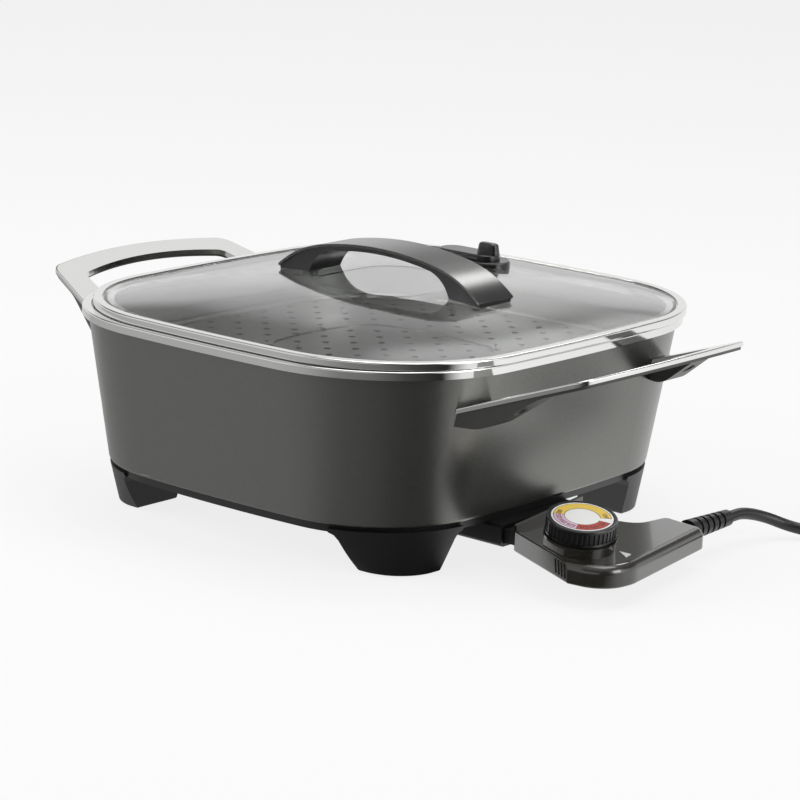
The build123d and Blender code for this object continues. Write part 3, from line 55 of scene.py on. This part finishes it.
def addNode(tree, kind, inputs=None, stops=(), **settings):     # inputs take a value or another node's socket
    node = tree.nodes.new(kind)
    for name, value in settings.items():
        setattr(node, name, value)
    for spot, (place, level) in enumerate(stops):               # the greys of a ramp
        marks = node.color_ramp.elements
        mark = marks[spot] if spot < 2 else marks.new(place)
        mark.position, mark.color = place, (level, level, level, 1.0)
    for name, value in (inputs or {}).items():
        if isinstance(value, bpy.types.NodeSocket):
            tree.links.new(value, node.inputs[name])
        else:
            node.inputs[name].default_value = value
    return node


def addObject(name, data):
    thing = bpy.data.objects.new(name, data)
    bpy.context.scene.collection.objects.link(thing)
    return thing


def startMaterial(name):
    material = bpy.data.materials.new(name)
    material.use_nodes = True
    material.node_tree.nodes.clear()
    return material, material.node_tree


cameraFit = {
    "azimuth": 40.14,              # degrees round from straight ahead
    "elevation": 13.67,
    "roll": 1.96,
    "distance": 1831.1,            # mm from the point that it is aimed at
    "aim": (0.0, 0.0, 60.0),
    "lens": 135.45,
    "sensor": 36.0,
    "shift": (0.02256, 0.0085),
    "clip": (0.05, 30.0),          # metres
}


def makeCamera(fit):
    azimuth, elevation, roll = (radians(fit[key]) for key in ("azimuth", "elevation", "roll"))
    back = Vector((sin(azimuth) * cos(elevation), -cos(azimuth) * cos(elevation), sin(elevation)))
    right = Vector((cos(azimuth), sin(azimuth), 0.0))
    up = back.cross(right)
    turnedRight = right * cos(roll) + up * sin(roll)
    turnedUp = up * cos(roll) - right * sin(roll)
    turn = Matrix((turnedRight, turnedUp, back)).transposed().to_4x4()
    data = bpy.data.cameras.new("camera")
    data.lens, data.sensor_width = fit["lens"], fit["sensor"]
    data.shift_x, data.shift_y = fit["shift"]
    data.clip_start, data.clip_end = fit["clip"]
    camera = addObject("camera", data)
    camera.matrix_world = Matrix.Translation(at(*fit["aim"]) + back * fit["distance"] / 1000.0) @ turn
    bpy.context.scene.camera = camera


makeCamera(cameraFit)
print("camera placed")

# the power cord comes early, because its place sets how far the model spreads
cordLook = {
    "diameter": 0.007,             # metres; the places below are in mm from the pan's middle
    "inRelief": [(204.5, 71.0, 18.2), (204.5, 79.0, 18.2)],
    "route": [(204.5, 92.0, 18.2), (209.0, 109.0, 13.4), (219.0, 121.0, 7.0), (233.0, 128.0, 4.9)],
    "coilCentre": (264.0, 172.0),
    "coilTurns": [(42.0, 4.9), (35.0, 5.2), (38.5, 11.4)],      # radius and height of each turn
    "pointsPerTurn": 14,
    "pointsPast": 4,               # points past the last whole turn
    "moveOver": 0.72,              # share of a turn after which the cord moves over to the next one
    "tail": [(303.0, 206.0, 10.6), (308.0, 221.0, 8.8), (314.0, 235.0, 8.8), (315.5, 238.5, 8.8)],
}


def cordPoints(look):
    points = look["inRelief"] + look["route"]
    centreX, centreY = look["coilCentre"]
    count, turns, moveOver = look["pointsPerTurn"], look["coilTurns"], look["moveOver"]
    for i in range(count * len(turns) + look["pointsPast"]):
        which = min(i // count, len(turns) - 1)
        blend = min(max((i / count - which - moveOver) / (1 - moveOver), 0.0), 1.0)
        nextTurn = turns[min(which + 1, len(turns) - 1)]
        radius, height = (a * (1 - blend) + b * blend for a, b in zip(turns[which], nextTurn))
        angle = tau * i / count - pi / 2
        points.append((centreX + radius * cos(angle), centreY + radius * sin(angle), height))
    return points + look["tail"]


def makeCord(look):
    curve = bpy.data.curves.new("cordLine", "CURVE")
    curve.dimensions = "3D"
    points = cordPoints(look)
    spline = curve.splines.new("NURBS")
    spline.points.add(len(points) - 1)
    for point, place in zip(spline.points, points):
        point.co = (*at(*place), 1.0)
        point.radius = look["diameter"] / 2
    spline.order_u = 3
    spline.use_endpoint_u = True
    spline.resolution_u = 8
    curve.bevel_depth = 1.0                   # the tube's radius is this times each point's own radius
    curve.bevel_resolution = 5
    curve.use_fill_caps = True
    cord = addObject("cordLine", curve)
    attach(cord, "control")
    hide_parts("power_cord", "cord_coil")
    return cord


cord = makeCord(cordLook)
print("cord laid")

reliefDepth = 0.0002                          # metres that a bump's pattern stands for from low to high

# sprayed metallic coat over cast aluminium: a soft dark grey sheen, faintly lined round the wall
coatLook = {
    "dark": "#72726f", "pale": "#7b7b78",     # what the lines go between
    "rough": 0.29, "roughSpread": 0.05, "metal": 0.88,
    "inside": "#a9a9a6", "insideMetal": 0.5,  # the cooking side is paler and duller
    "lineWidth": 2.38,                        # mm; real lines are about 0.3 mm, too fine to show
    "lineStretch": (1.0, 1.0, 9.0),           # closer together up the wall than along it
    "gritWidth": 0.2, "gritBump": 0.05,
    "turnOver": 0.01,                         # how sharply the outside gives way to the inside at the rim
    "floorFrom": 0.3, "floorFull": 0.7,       # how far a surface faces up before it counts as floor
}


def scratches(tree, width, stretch):          # fine lines along the long way of a surface
    place = addNode(tree, "ShaderNodeTexCoord")
    spread = addNode(tree, "ShaderNodeMapping", {"Vector": place.outputs["Object"], "Scale": stretch})
    return addNode(tree, "ShaderNodeTexNoise", {"Vector": spread.outputs["Vector"], "Scale": perMetre(width),
                                                "Detail": 3.0, "Roughness": 0.6})


def cookingSide(tree, look):                  # 1 on the pan's floor and its walls' inner faces, and 0 outside
    place = addNode(tree, "ShaderNodeTexCoord")
    fromMiddle = addNode(tree, "ShaderNodeVectorMath", {0: place.outputs["Object"], 1: panCentre},
                         operation="SUBTRACT")
    outward = addNode(tree, "ShaderNodeVectorMath", {0: fromMiddle.outputs["Vector"], 1: (1.0, 1.0, 0.0)},
                      operation="MULTIPLY")
    facing = addNode(tree, "ShaderNodeVectorMath", {0: outward.outputs["Vector"], 1: place.outputs["Normal"]},
                     operation="DOT_PRODUCT")
    turnedIn = addNode(tree, "ShaderNodeMapRange", {
        "Value": facing.outputs["Value"], "From Min": look["turnOver"], "From Max": -look["turnOver"]})
    upward = addNode(tree, "ShaderNodeSeparateXYZ", {"Vector": place.outputs["Normal"]})
    floorPart = addNode(tree, "ShaderNodeMapRange", {
        "Value": upward.outputs["Z"], "From Min": look["floorFrom"], "From Max": look["floorFull"]})
    inside = addNode(tree, "ShaderNodeMath", {0: turnedIn.outputs["Result"], 1: floorPart.outputs["Result"]},
                     operation="MAXIMUM")
    return inside.outputs["Value"]


def makeSatinCoat(look):
    material, tree = startMaterial("satinMetallicCoat")
    lines = scratches(tree, look["lineWidth"], look["lineStretch"])
    inside = cookingSide(tree, look)
    place = addNode(tree, "ShaderNodeTexCoord")
    grit = addNode(tree, "ShaderNodeTexNoise", {
        "Vector": place.outputs["Object"], "Scale": perMetre(look["gritWidth"]), "Detail": 2.0})
    outer = addNode(tree, "ShaderNodeMix", {
        "Factor": lines.outputs["Fac"], 6: linearColour(look["dark"]), 7: linearColour(look["pale"])},
        data_type="RGBA")
    tint = addNode(tree, "ShaderNodeMix", {
        "Factor": inside, 6: outer.outputs[2], 7: linearColour(look["inside"])}, data_type="RGBA")
    metal = addNode(tree, "ShaderNodeMapRange", {
        "Value": inside, "To Min": look["metal"], "To Max": look["insideMetal"]})
    rough = addNode(tree, "ShaderNodeMapRange", {
        "Value": lines.outputs["Fac"], "To Min": look["rough"] - look["roughSpread"],
        "To Max": look["rough"] + look["roughSpread"]})
    bump = addNode(tree, "ShaderNodeBump", {
        "Height": grit.outputs["Fac"], "Strength": look["gritBump"], "Distance": reliefDepth})
    shader = addNode(tree, "ShaderNodeBsdfPrincipled", {
        "Base Color": tint.outputs[2], "Metallic": metal.outputs["Result"],
        "Roughness": rough.outputs["Result"], "Normal": bump.outputs["Normal"]})
    addNode(tree, "ShaderNodeOutputMaterial", {"Surface": shader.outputs["BSDF"]})
    return material


# bare metals: colour, roughness, width of the lines in mm, how they are drawn out, and their bump.
# Real lines are a tenth as wide, and these are as coarse as they need to be to show.
lineShine = (0.75, 1.3)                       # a line's roughness against the metal's own, low and high
metalFinishes = {
    # drawn and buffed: mirrors the room almost clearly
    "polishedStainless": ("#dededc", 0.09, 3.33, (1.0, 1.0, 1.0), 0.01),
    # ground one way: a dark silk sheen that draws out along the strap
    "brushedStainless": ("#626261", 0.22, 2.0, (1.0, 12.0, 1.0), 0.04),
    # rolled and etched sheet: pale, dull and even
    "satinAluminiumSheet": ("#8f8f8c", 0.36, 3.33, (1.0, 1.0, 1.0), 0.03),
    # steel sheath that has been hot: brownish and dull
    "heatTonedSteel": ("#6b665f", 0.5, 4.0, (1.0, 1.0, 1.0), 0.04),
    # stamped brass with a thin tin skin: pale straw colour and bright
    "tinnedBrass": ("#c8b48a", 0.28, 2.5, (1.0, 1.0, 1.0), 0.04),
    # oil-blacked screws: near black with a low sheen
    "blackenedSteel": ("#3b3a39", 0.5, 2.5, (1.0, 1.0, 1.0), 0.04),
    # zinc plating: pale bluish grey, half bright
    "zincPlatedSteel": ("#b9bcbf", 0.32, 2.5, (1.0, 1.0, 1.0), 0.04),
}


def makeMetal(name, colour, roughness, lineWidth, stretch, bumpStrength):
    material, tree = startMaterial(name)
    lines = scratches(tree, lineWidth, stretch)
    rough = addNode(tree, "ShaderNodeMapRange", {
        "Value": lines.outputs["Fac"], "To Min": roughness * lineShine[0],
        "To Max": roughness * lineShine[1]})
    bump = addNode(tree, "ShaderNodeBump", {
        "Height": lines.outputs["Fac"], "Strength": bumpStrength, "Distance": reliefDepth})
    shader = addNode(tree, "ShaderNodeBsdfPrincipled", {
        "Base Color": linearColour(colour), "Metallic": 1.0, "Roughness": rough.outputs["Result"],
        "Normal": bump.outputs["Normal"]})
    addNode(tree, "ShaderNodeOutputMaterial", {"Surface": shader.outputs["BSDF"]})
    return material


# moulded and printed surfaces: colour, its paler patches, roughness, grain in mm, clear top layer and bump.
# Real grain is about 0.1 mm, and is drawn coarser to show.
mouldedLook = {
    "patchWidth": 25.0,                       # mm; slow changes of tone over a moulding
    "ior": 1.5, "topLayerRough": 0.08,
}
mouldedFinishes = {
    # pressed thermoset: dull deep black with a fine dry skin
    "mouldedPhenolic": ("#101010", "#161615", 0.44, 0.556, 0.0, 0.12),
    # the same with a grey filler: charcoal
    "greyPhenolic": ("#383836", "#403f3d", 0.42, 0.556, 0.0, 0.12),
    # injected nylon from a polished tool: black with a soft gloss
    "glossyBlackNylon": ("#121212", "#171717", 0.28, 0.667, 0.2, 0.04),
    # lacquered ABS: smoky brown black, glossy enough to mirror the knob
    "smokyGlossAbs": ("#23211d", "#2a2823", 0.22, 0.833, 0.8, 0.02),
    # moulded rubber: black and quite matt
    "blackRubber": ("#151515", "#1b1b1b", 0.7, 1.11, 0.0, 0.2),
    # extruded flexible PVC: black with a waxy sheen
    "blackPvc": ("#0e0e0e", "#141414", 0.42, 1.43, 0.0, 0.08),
    # moulded silicone: milky grey and soft
    "clearSilicone": ("#9a9b9a", "#a5a6a5", 0.5, 1.43, 0.0, 0.12),
    # printed ink: even off-white
    "whiteInk": ("#ececea", "#f4f4f2", 0.45, 1.11, 0.0, 0.12),
    # the dial's inks under a thin varnish: flat bright bands
    "dialYellowInk": ("#efc94a", "#f3d25c", 0.35, 1.11, 0.3, 0.02),
    "dialPinkInk": ("#dcb4cf", "#e2bfd6", 0.35, 1.11, 0.3, 0.02),
    "dialRedInk": ("#b23526", "#bd4030", 0.35, 1.11, 0.3, 0.02),
    # its outlines and numbers: brown black
    "dialDarkInk": ("#3a2a26", "#46342e", 0.4, 1.11, 0.0, 0.02),
}


def makeMoulded(name, colour, paler, roughness, grainWidth, topLayer, bumpStrength):
    material, tree = startMaterial(name)
    place = addNode(tree, "ShaderNodeTexCoord")
    patches = addNode(tree, "ShaderNodeTexNoise", {
        "Vector": place.outputs["Object"], "Scale": perMetre(mouldedLook["patchWidth"]), "Detail": 2.0})
    grain = addNode(tree, "ShaderNodeTexNoise", {
        "Vector": place.outputs["Object"], "Scale": perMetre(grainWidth), "Detail": 3.0})
    tint = addNode(tree, "ShaderNodeMix", {
        "Factor": patches.outputs["Fac"], 6: linearColour(colour), 7: linearColour(paler)}, data_type="RGBA")
    bump = addNode(tree, "ShaderNodeBump", {
        "Height": grain.outputs["Fac"], "Strength": bumpStrength, "Distance": reliefDepth})
    shader = addNode(tree, "ShaderNodeBsdfPrincipled", {
        "Base Color": tint.outputs[2], "Roughness": roughness, "IOR": mouldedLook["ior"],
        "Coat Weight": topLayer, "Coat Roughness": mouldedLook["topLayerRough"],
        "Normal": bump.outputs["Normal"]})
    addNode(tree, "ShaderNodeOutputMaterial", {"Surface": shader.outputs["BSDF"]})
    return material


# tempered glass: clear, so that the tray shows through it, with the room mirrored in its dome
glassLook = {"colour": "#f7f8f8", "shade": "#f2f4f3", "rough": 0.01, "ior": 1.5}


def makeGlass(look):                          # light falls straight through it on to what lies below
    material, tree = startMaterial("temperedGlass")
    shader = addNode(tree, "ShaderNodeBsdfPrincipled", {
        "Base Color": linearColour(look["colour"]), "Roughness": look["rough"], "IOR": look["ior"],
        "Transmission Weight": 1.0})
    clear = addNode(tree, "ShaderNodeBsdfTransparent", {"Color": linearColour(look["shade"])})
    rays = addNode(tree, "ShaderNodeLightPath")
    through = addNode(tree, "ShaderNodeMath", {
        0: rays.outputs["Is Shadow Ray"], 1: rays.outputs["Is Diffuse Ray"]}, operation="MAXIMUM")
    both = addNode(tree, "ShaderNodeMixShader", {
        "Fac": through.outputs["Value"], 1: shader.outputs["BSDF"], 2: clear.outputs["BSDF"]})
    addNode(tree, "ShaderNodeOutputMaterial", {"Surface": both.outputs["Shader"]})
    return material


finishes = {"satinMetallicCoat": makeSatinCoat(coatLook), "temperedGlass": makeGlass(glassLook)}
finishes.update((name, makeMetal(name, *look)) for name, look in metalFinishes.items())
finishes.update((name, makeMoulded(name, *look)) for name, look in mouldedFinishes.items())

finishOfNodes = {
    "satinMetallicCoat": ["pan_body"],
    "polishedStainless": ["pan_rim", "handle_plate_left", "handle_plate_right", "lid_band"],
    "brushedStainless": ["lid_handle_strap", "dial_ring", "probe_rod"],
    "satinAluminiumSheet": ["steamer_tray", "sensor_well"],
    "heatTonedSteel": ["heating_element"],
    "tinnedBrass": ["terminal_pins", "contact_sleeves", "bimetal_blades", "plug_blades"],
    "blackenedSteel": ["handle_screws"],
    "zincPlatedSteel": ["base_screws", "handle_studs", "lid_handle_screws", "control_screws", "dial_shaft"],
    "mouldedPhenolic": ["base_skirt", "terminal_guard", "control_nose", "thermostat_block", "dial_collar"],
    "greyPhenolic": ["handle_grip_left", "handle_grip_right"],
    "glossyBlackNylon": ["lid_handle_liner", "vent_base", "vent_nut", "vent_lever", "dial_knob"],
    "smokyGlossAbs": ["control_base", "control_cover"],
    "blackRubber": ["foot_pads"],
    "blackPvc": ["strain_relief", "power_plug", "cord_tie"],
    "clearSilicone": ["lid_seal", "lid_handle_washers"],
    "whiteInk": ["dial_pointer", "dial_scale"],
    "temperedGlass": ["lid_glass"],
}
for finish, names in finishOfNodes.items():
    for name in names:
        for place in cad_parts[name].material_slots:
            place.material = finishes[finish]
cord.data.materials.append(finishes["blackPvc"])
print("materials set")

# the dial's print: a ring of coloured bands with plain numbers, laid in the scale disc, in mm and degrees
dialPrint = {
    "middle": (198.8, -60.6, 44.0),
    "axis": (0.1512, -0.1138, 0.982),
    "depth": 0.17,                 # under the knob's top edge
    "innerRadius": 10.2,
    "outerRadius": 16.0,
    "outline": 0.35,
    "bands": [("dialYellow", 41.0, 214.0), ("dialPink", 215.5, 295.0), ("dialRed", 296.5, 379.0)],
    "bandStep": 3.0,               # degrees from one cut across a band to the next
    "sink": 0.02,                  # how far the bands reach down into the disc
    "outlineLift": 0.02, "bandLift": 0.05, "markLift": 0.08,
    "marks": [("OFF", 52.0), ("200", 203.0), ("225", 230.0), ("250", 255.0), ("275", 280.0), ("325", 312.0),
              ("375", 338.0), ("425", 365.0)],
    "markHeight": 3.5,
    "markDepth": 0.02,
    "markBold": 0.05,
}


def dialFrame(look):                          # a frame whose Z is the dial's axis
    axis = Vector(look["axis"]).normalized()
    across = Vector((0, 1, 0)).cross(axis).normalized()
    along = axis.cross(across)
    turn = Matrix((across, along, axis)).transposed().to_4x4()
    return Matrix.Translation(at(*look["middle"]) - axis * look["depth"] / 1000.0) @ turn


def layOnDial(name, mesh, ink):
    mesh.materials.clear()
    mesh.materials.append(finishes[ink])
    piece = addObject(name, mesh)
    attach(piece, "dial")


def makeBand(name, look, start, end, grow, lift, ink):
    place = dialFrame(look)
    inner, outer = look["innerRadius"] - grow, look["outerRadius"] + grow
    spread = grow / look["outerRadius"]
    steps = int((end - start) / look["bandStep"])
    verts = []
    for i in range(steps + 1):
        angle = radians(start) - spread + (radians(end - start) + 2 * spread) * i / steps
        for height in (-look["sink"], lift):
            for radius in (inner, outer):
                verts.append(place @ (Vector((radius * cos(angle), radius * sin(angle), height)) / 1000.0))
    last = 4 * steps
    faces = [(0, 1, 3, 2), (last + 2, last + 3, last + 1, last)]
    for a in range(0, last, 4):
        b = a + 4
        faces += [(a + 2, a + 3, b + 3, b + 2), (a, b, b + 1, a + 1), (a, a + 2, b + 2, b),
                  (a + 1, b + 1, b + 3, a + 3)]
    mesh = bpy.data.meshes.new(name)
    mesh.from_pydata(verts, [], faces)
    layOnDial(name, mesh, ink)


def makeMark(name, look, text, angle):        # one number, its foot towards the dial's middle
    curve = bpy.data.curves.new("markLine", "FONT")
    curve.body = text
    curve.size = look["markHeight"] / 1000.0
    curve.align_x, curve.align_y = "CENTER", "CENTER"
    curve.extrude = look["markDepth"] / 1000.0
    curve.offset = look["markBold"] / 1000.0
    writer = addObject("markLine", curve)
    bpy.context.view_layer.update()
    mesh = bpy.data.meshes.new_from_object(writer.evaluated_get(bpy.context.evaluated_depsgraph_get()))
    bpy.data.objects.remove(writer)
    middle = (look["innerRadius"] + look["outerRadius"]) / 2
    spot = Matrix.Translation(Vector((middle, 0, look["markLift"])) / 1000.0)
    mesh.transform(dialFrame(look) @ Matrix.Rotation(radians(angle), 4, "Z") @ spot
                   @ Matrix.Rotation(radians(-90), 4, "Z"))
    layOnDial(name, mesh, "dialDarkInk")


for band, start, end in dialPrint["bands"]:
    makeBand(band + "Outline", dialPrint, start, end, dialPrint["outline"], dialPrint["outlineLift"],
             "dialDarkInk")
    makeBand(band + "Band", dialPrint, start, end, 0.0, dialPrint["bandLift"], band + "Ink")
for index, (text, angle) in enumerate(dialPrint["marks"]):
    makeMark("dialMark" + str(index), dialPrint, text, angle)
print("dial printed")

# the studio: a pale floor and a white room to the eye, cards of plain grey for metal to mirror, and painted
# shade and light in the floor where metal mirrors it
studio = {
    "floorColour": "#e6e6e6",
    "floorHalf": 14.0,             # metres
    "floorDrop": 0.0004,
    "floorShine": 0.82,            # share of the floor's white that the eye and clear glass get
    "cornerPlace": (60.0, -74.0, 0.0),        # the near corner's middle, that the floor's painted reflection turns about
    "paintedFloorReflection": [(-180.0, 0.48), (-125.0, 0.50), (-100.0, 0.44), (-76.0, 0.24), (-54.0, 0.18),
                   (-34.0, 0.07), (-10.0, 0.02), (3.0, 1.0), (30.0, 1.15), (110.0, 0.90),
                   (180.0, 0.60)],            # degrees round that corner, and the brightness that metal mirrors there: painted shade, darkest in front of the corner, and painted light along its right
    "roomColour": "#c4c4c4",
    "roomStrength": 0.62,
    "bands": [(0.0, 0.95), (0.20, 0.95), (0.29, 0.80), (0.38, 0.24), (0.55, 0.16), (0.75, 0.45),
              (1.0, 0.85)],                   # height in the room, and the brightness there in metal
    "cards": [((-0.343, 0.743, 0.574), 0.960, 0.985, 0.95),     # direction, edge, core and brightness
              ((-0.22, 0.743, 0.635), 0.9935, 0.998, 8.0),
              ((0.90, -0.43, 0.08), 0.80, 0.93, 0.05),
              ((-0.72, -0.60, 0.40), 0.86, 0.95, 0.85),
              ((0.93, 0.25, 0.30), 0.86, 0.95, 1.6)],
    "lamps": [("leftBox", 26.0, (-1.3, -1.6, 1.1), (1.6, 1.2), False),      # watts, place, size, mirrored
              ("rightBox", 16.0, (2.1, 0.3, 0.9), (1.0, 1.0), True),
              ("topBox", 18.0, (0.0, 0.3, 1.9), (1.6, 1.2), True)],
    "lampAim": (0.0, 0.0, 0.08),
}


def rayKinds(tree):                           # what is seen straight or through glass, and what metal mirrors
    rays = addNode(tree, "ShaderNodeLightPath")
    afterMetal = addNode(tree, "ShaderNodeMath", {0: rays.outputs["Glossy Depth"], 1: 0.5},
                         operation="GREATER_THAN")
    throughAfter = addNode(tree, "ShaderNodeMath", {
        0: rays.outputs["Is Transmission Ray"], 1: afterMetal.outputs["Value"]}, operation="MULTIPLY")
    mirrored = addNode(tree, "ShaderNodeMath", {
        0: throughAfter.outputs["Value"], 1: rays.outputs["Is Glossy Ray"]}, operation="MAXIMUM")
    seen = addNode(tree, "ShaderNodeMath", {
        0: rays.outputs["Is Camera Ray"], 1: rays.outputs["Is Transmission Ray"]}, operation="MAXIMUM")
    straight = addNode(tree, "ShaderNodeMath", {0: seen.outputs["Value"], 1: mirrored.outputs["Value"]},
                       operation="SUBTRACT", use_clamp=True)
    return straight.outputs["Value"], mirrored.outputs["Value"]


def makeFloor(look):
    half = look["floorHalf"]
    mesh = bpy.data.meshes.new("floor")
    corners = [(-half, -half, 0), (half, -half, 0), (half, half, 0), (-half, half, 0)]
    mesh.from_pydata(corners, [], [(0, 1, 2, 3)])
    floor = addObject("floor", mesh)
    floor.location.z = -look["floorDrop"]
    material, tree = startMaterial("paleFloor")
    place = addNode(tree, "ShaderNodeTexCoord")
    fromCorner = addNode(tree, "ShaderNodeVectorMath", {
        0: place.outputs["Object"], 1: at(*look["cornerPlace"])}, operation="SUBTRACT")
    sides = addNode(tree, "ShaderNodeSeparateXYZ", {"Vector": fromCorner.outputs["Vector"]})
    turn = addNode(tree, "ShaderNodeMath", {0: sides.outputs["Y"], 1: sides.outputs["X"]},
                   operation="ARCTAN2")
    around = addNode(tree, "ShaderNodeMapRange", {
        "Value": turn.outputs["Value"], "From Min": -pi, "From Max": pi})
    # the floor's painted reflection: painted shade in front of the near corner and painted light beside it,
    # which only metal mirrors
    cards = addNode(tree, "ShaderNodeValToRGB", {"Fac": around.outputs["Result"]},
                    stops=[(angle / 360 + 0.5, level) for angle, level in look["paintedFloorReflection"]])
    seen, mirrored = rayKinds(tree)
    level = addNode(tree, "ShaderNodeMix", {"Factor": mirrored, 2: 1.0, 3: cards.outputs["Color"]},
                    data_type="FLOAT")
    clear = addNode(tree, "ShaderNodeMath", {0: seen, 1: look["floorShine"]}, operation="MULTIPLY")
    glow = addNode(tree, "ShaderNodeMath", {0: clear.outputs["Value"], 1: mirrored}, operation="MAXIMUM")
    matt = addNode(tree, "ShaderNodeBsdfDiffuse", {"Color": linearColour(look["floorColour"])})
    white = addNode(tree, "ShaderNodeEmission", {"Color": (1, 1, 1, 1), "Strength": level.outputs[0]})
    both = addNode(tree, "ShaderNodeMixShader", {
        "Fac": glow.outputs["Value"], 1: matt.outputs["BSDF"], 2: white.outputs["Emission"]})
    addNode(tree, "ShaderNodeOutputMaterial", {"Surface": both.outputs["Shader"]})
    mesh.materials.append(material)


def makeRoom(look):                           # white to the eye, with the cards that bright metal needs
    world = bpy.data.worlds.new("studioRoom")
    world.use_nodes = True
    tree = world.node_tree
    tree.nodes.clear()
    way = addNode(tree, "ShaderNodeTexCoord").outputs["Generated"]
    height = addNode(tree, "ShaderNodeSeparateXYZ", {"Vector": way})
    level = addNode(tree, "ShaderNodeValToRGB", {"Fac": height.outputs["Z"]},
                    stops=look["bands"]).outputs["Color"]
    for direction, edge, core, card in look["cards"]:
        towards = addNode(tree, "ShaderNodeVectorMath", {0: way, 1: Vector(direction).normalized()},
                          operation="DOT_PRODUCT")
        share = addNode(tree, "ShaderNodeMapRange", {
            "Value": towards.outputs["Value"], "From Min": edge, "From Max": core},
            interpolation_type="SMOOTHSTEP")
        level = addNode(tree, "ShaderNodeMix", {"Factor": share.outputs["Result"], 2: level, 3: card},
                        data_type="FLOAT").outputs[0]
    seen, mirrored = rayKinds(tree)
    room = addNode(tree, "ShaderNodeBackground", {
        "Color": linearColour(look["roomColour"]), "Strength": look["roomStrength"]})
    cards = addNode(tree, "ShaderNodeBackground", {"Color": (1, 1, 1, 1), "Strength": level})
    white = addNode(tree, "ShaderNodeBackground", {"Color": (1, 1, 1, 1), "Strength": 1.0})
    dull = addNode(tree, "ShaderNodeMixShader", {
        "Fac": mirrored, 1: room.outputs["Background"], 2: cards.outputs["Background"]})
    both = addNode(tree, "ShaderNodeMixShader", {
        "Fac": seen, 1: dull.outputs["Shader"], 2: white.outputs["Background"]})
    addNode(tree, "ShaderNodeOutputWorld", {"Surface": both.outputs["Shader"]})
    bpy.context.scene.world = world


def makeLamps(look):
    for name, power, place, (width, height), mirrored in look["lamps"]:
        data = bpy.data.lights.new(name, "AREA")
        data.shape = "RECTANGLE"
        data.size, data.size_y = width, height
        data.energy = power
        lamp = addObject(name, data)
        lamp.location = place
        lamp.visible_glossy = mirrored
        lamp.rotation_mode = "QUATERNION"
        lamp.rotation_quaternion = (Vector(look["lampAim"]) - Vector(place)).to_track_quat("-Z", "Y")


makeFloor(studio)
makeRoom(studio)
makeLamps(studio)
bpy.context.scene.view_settings.view_transform = "Standard"
print("studio lit")
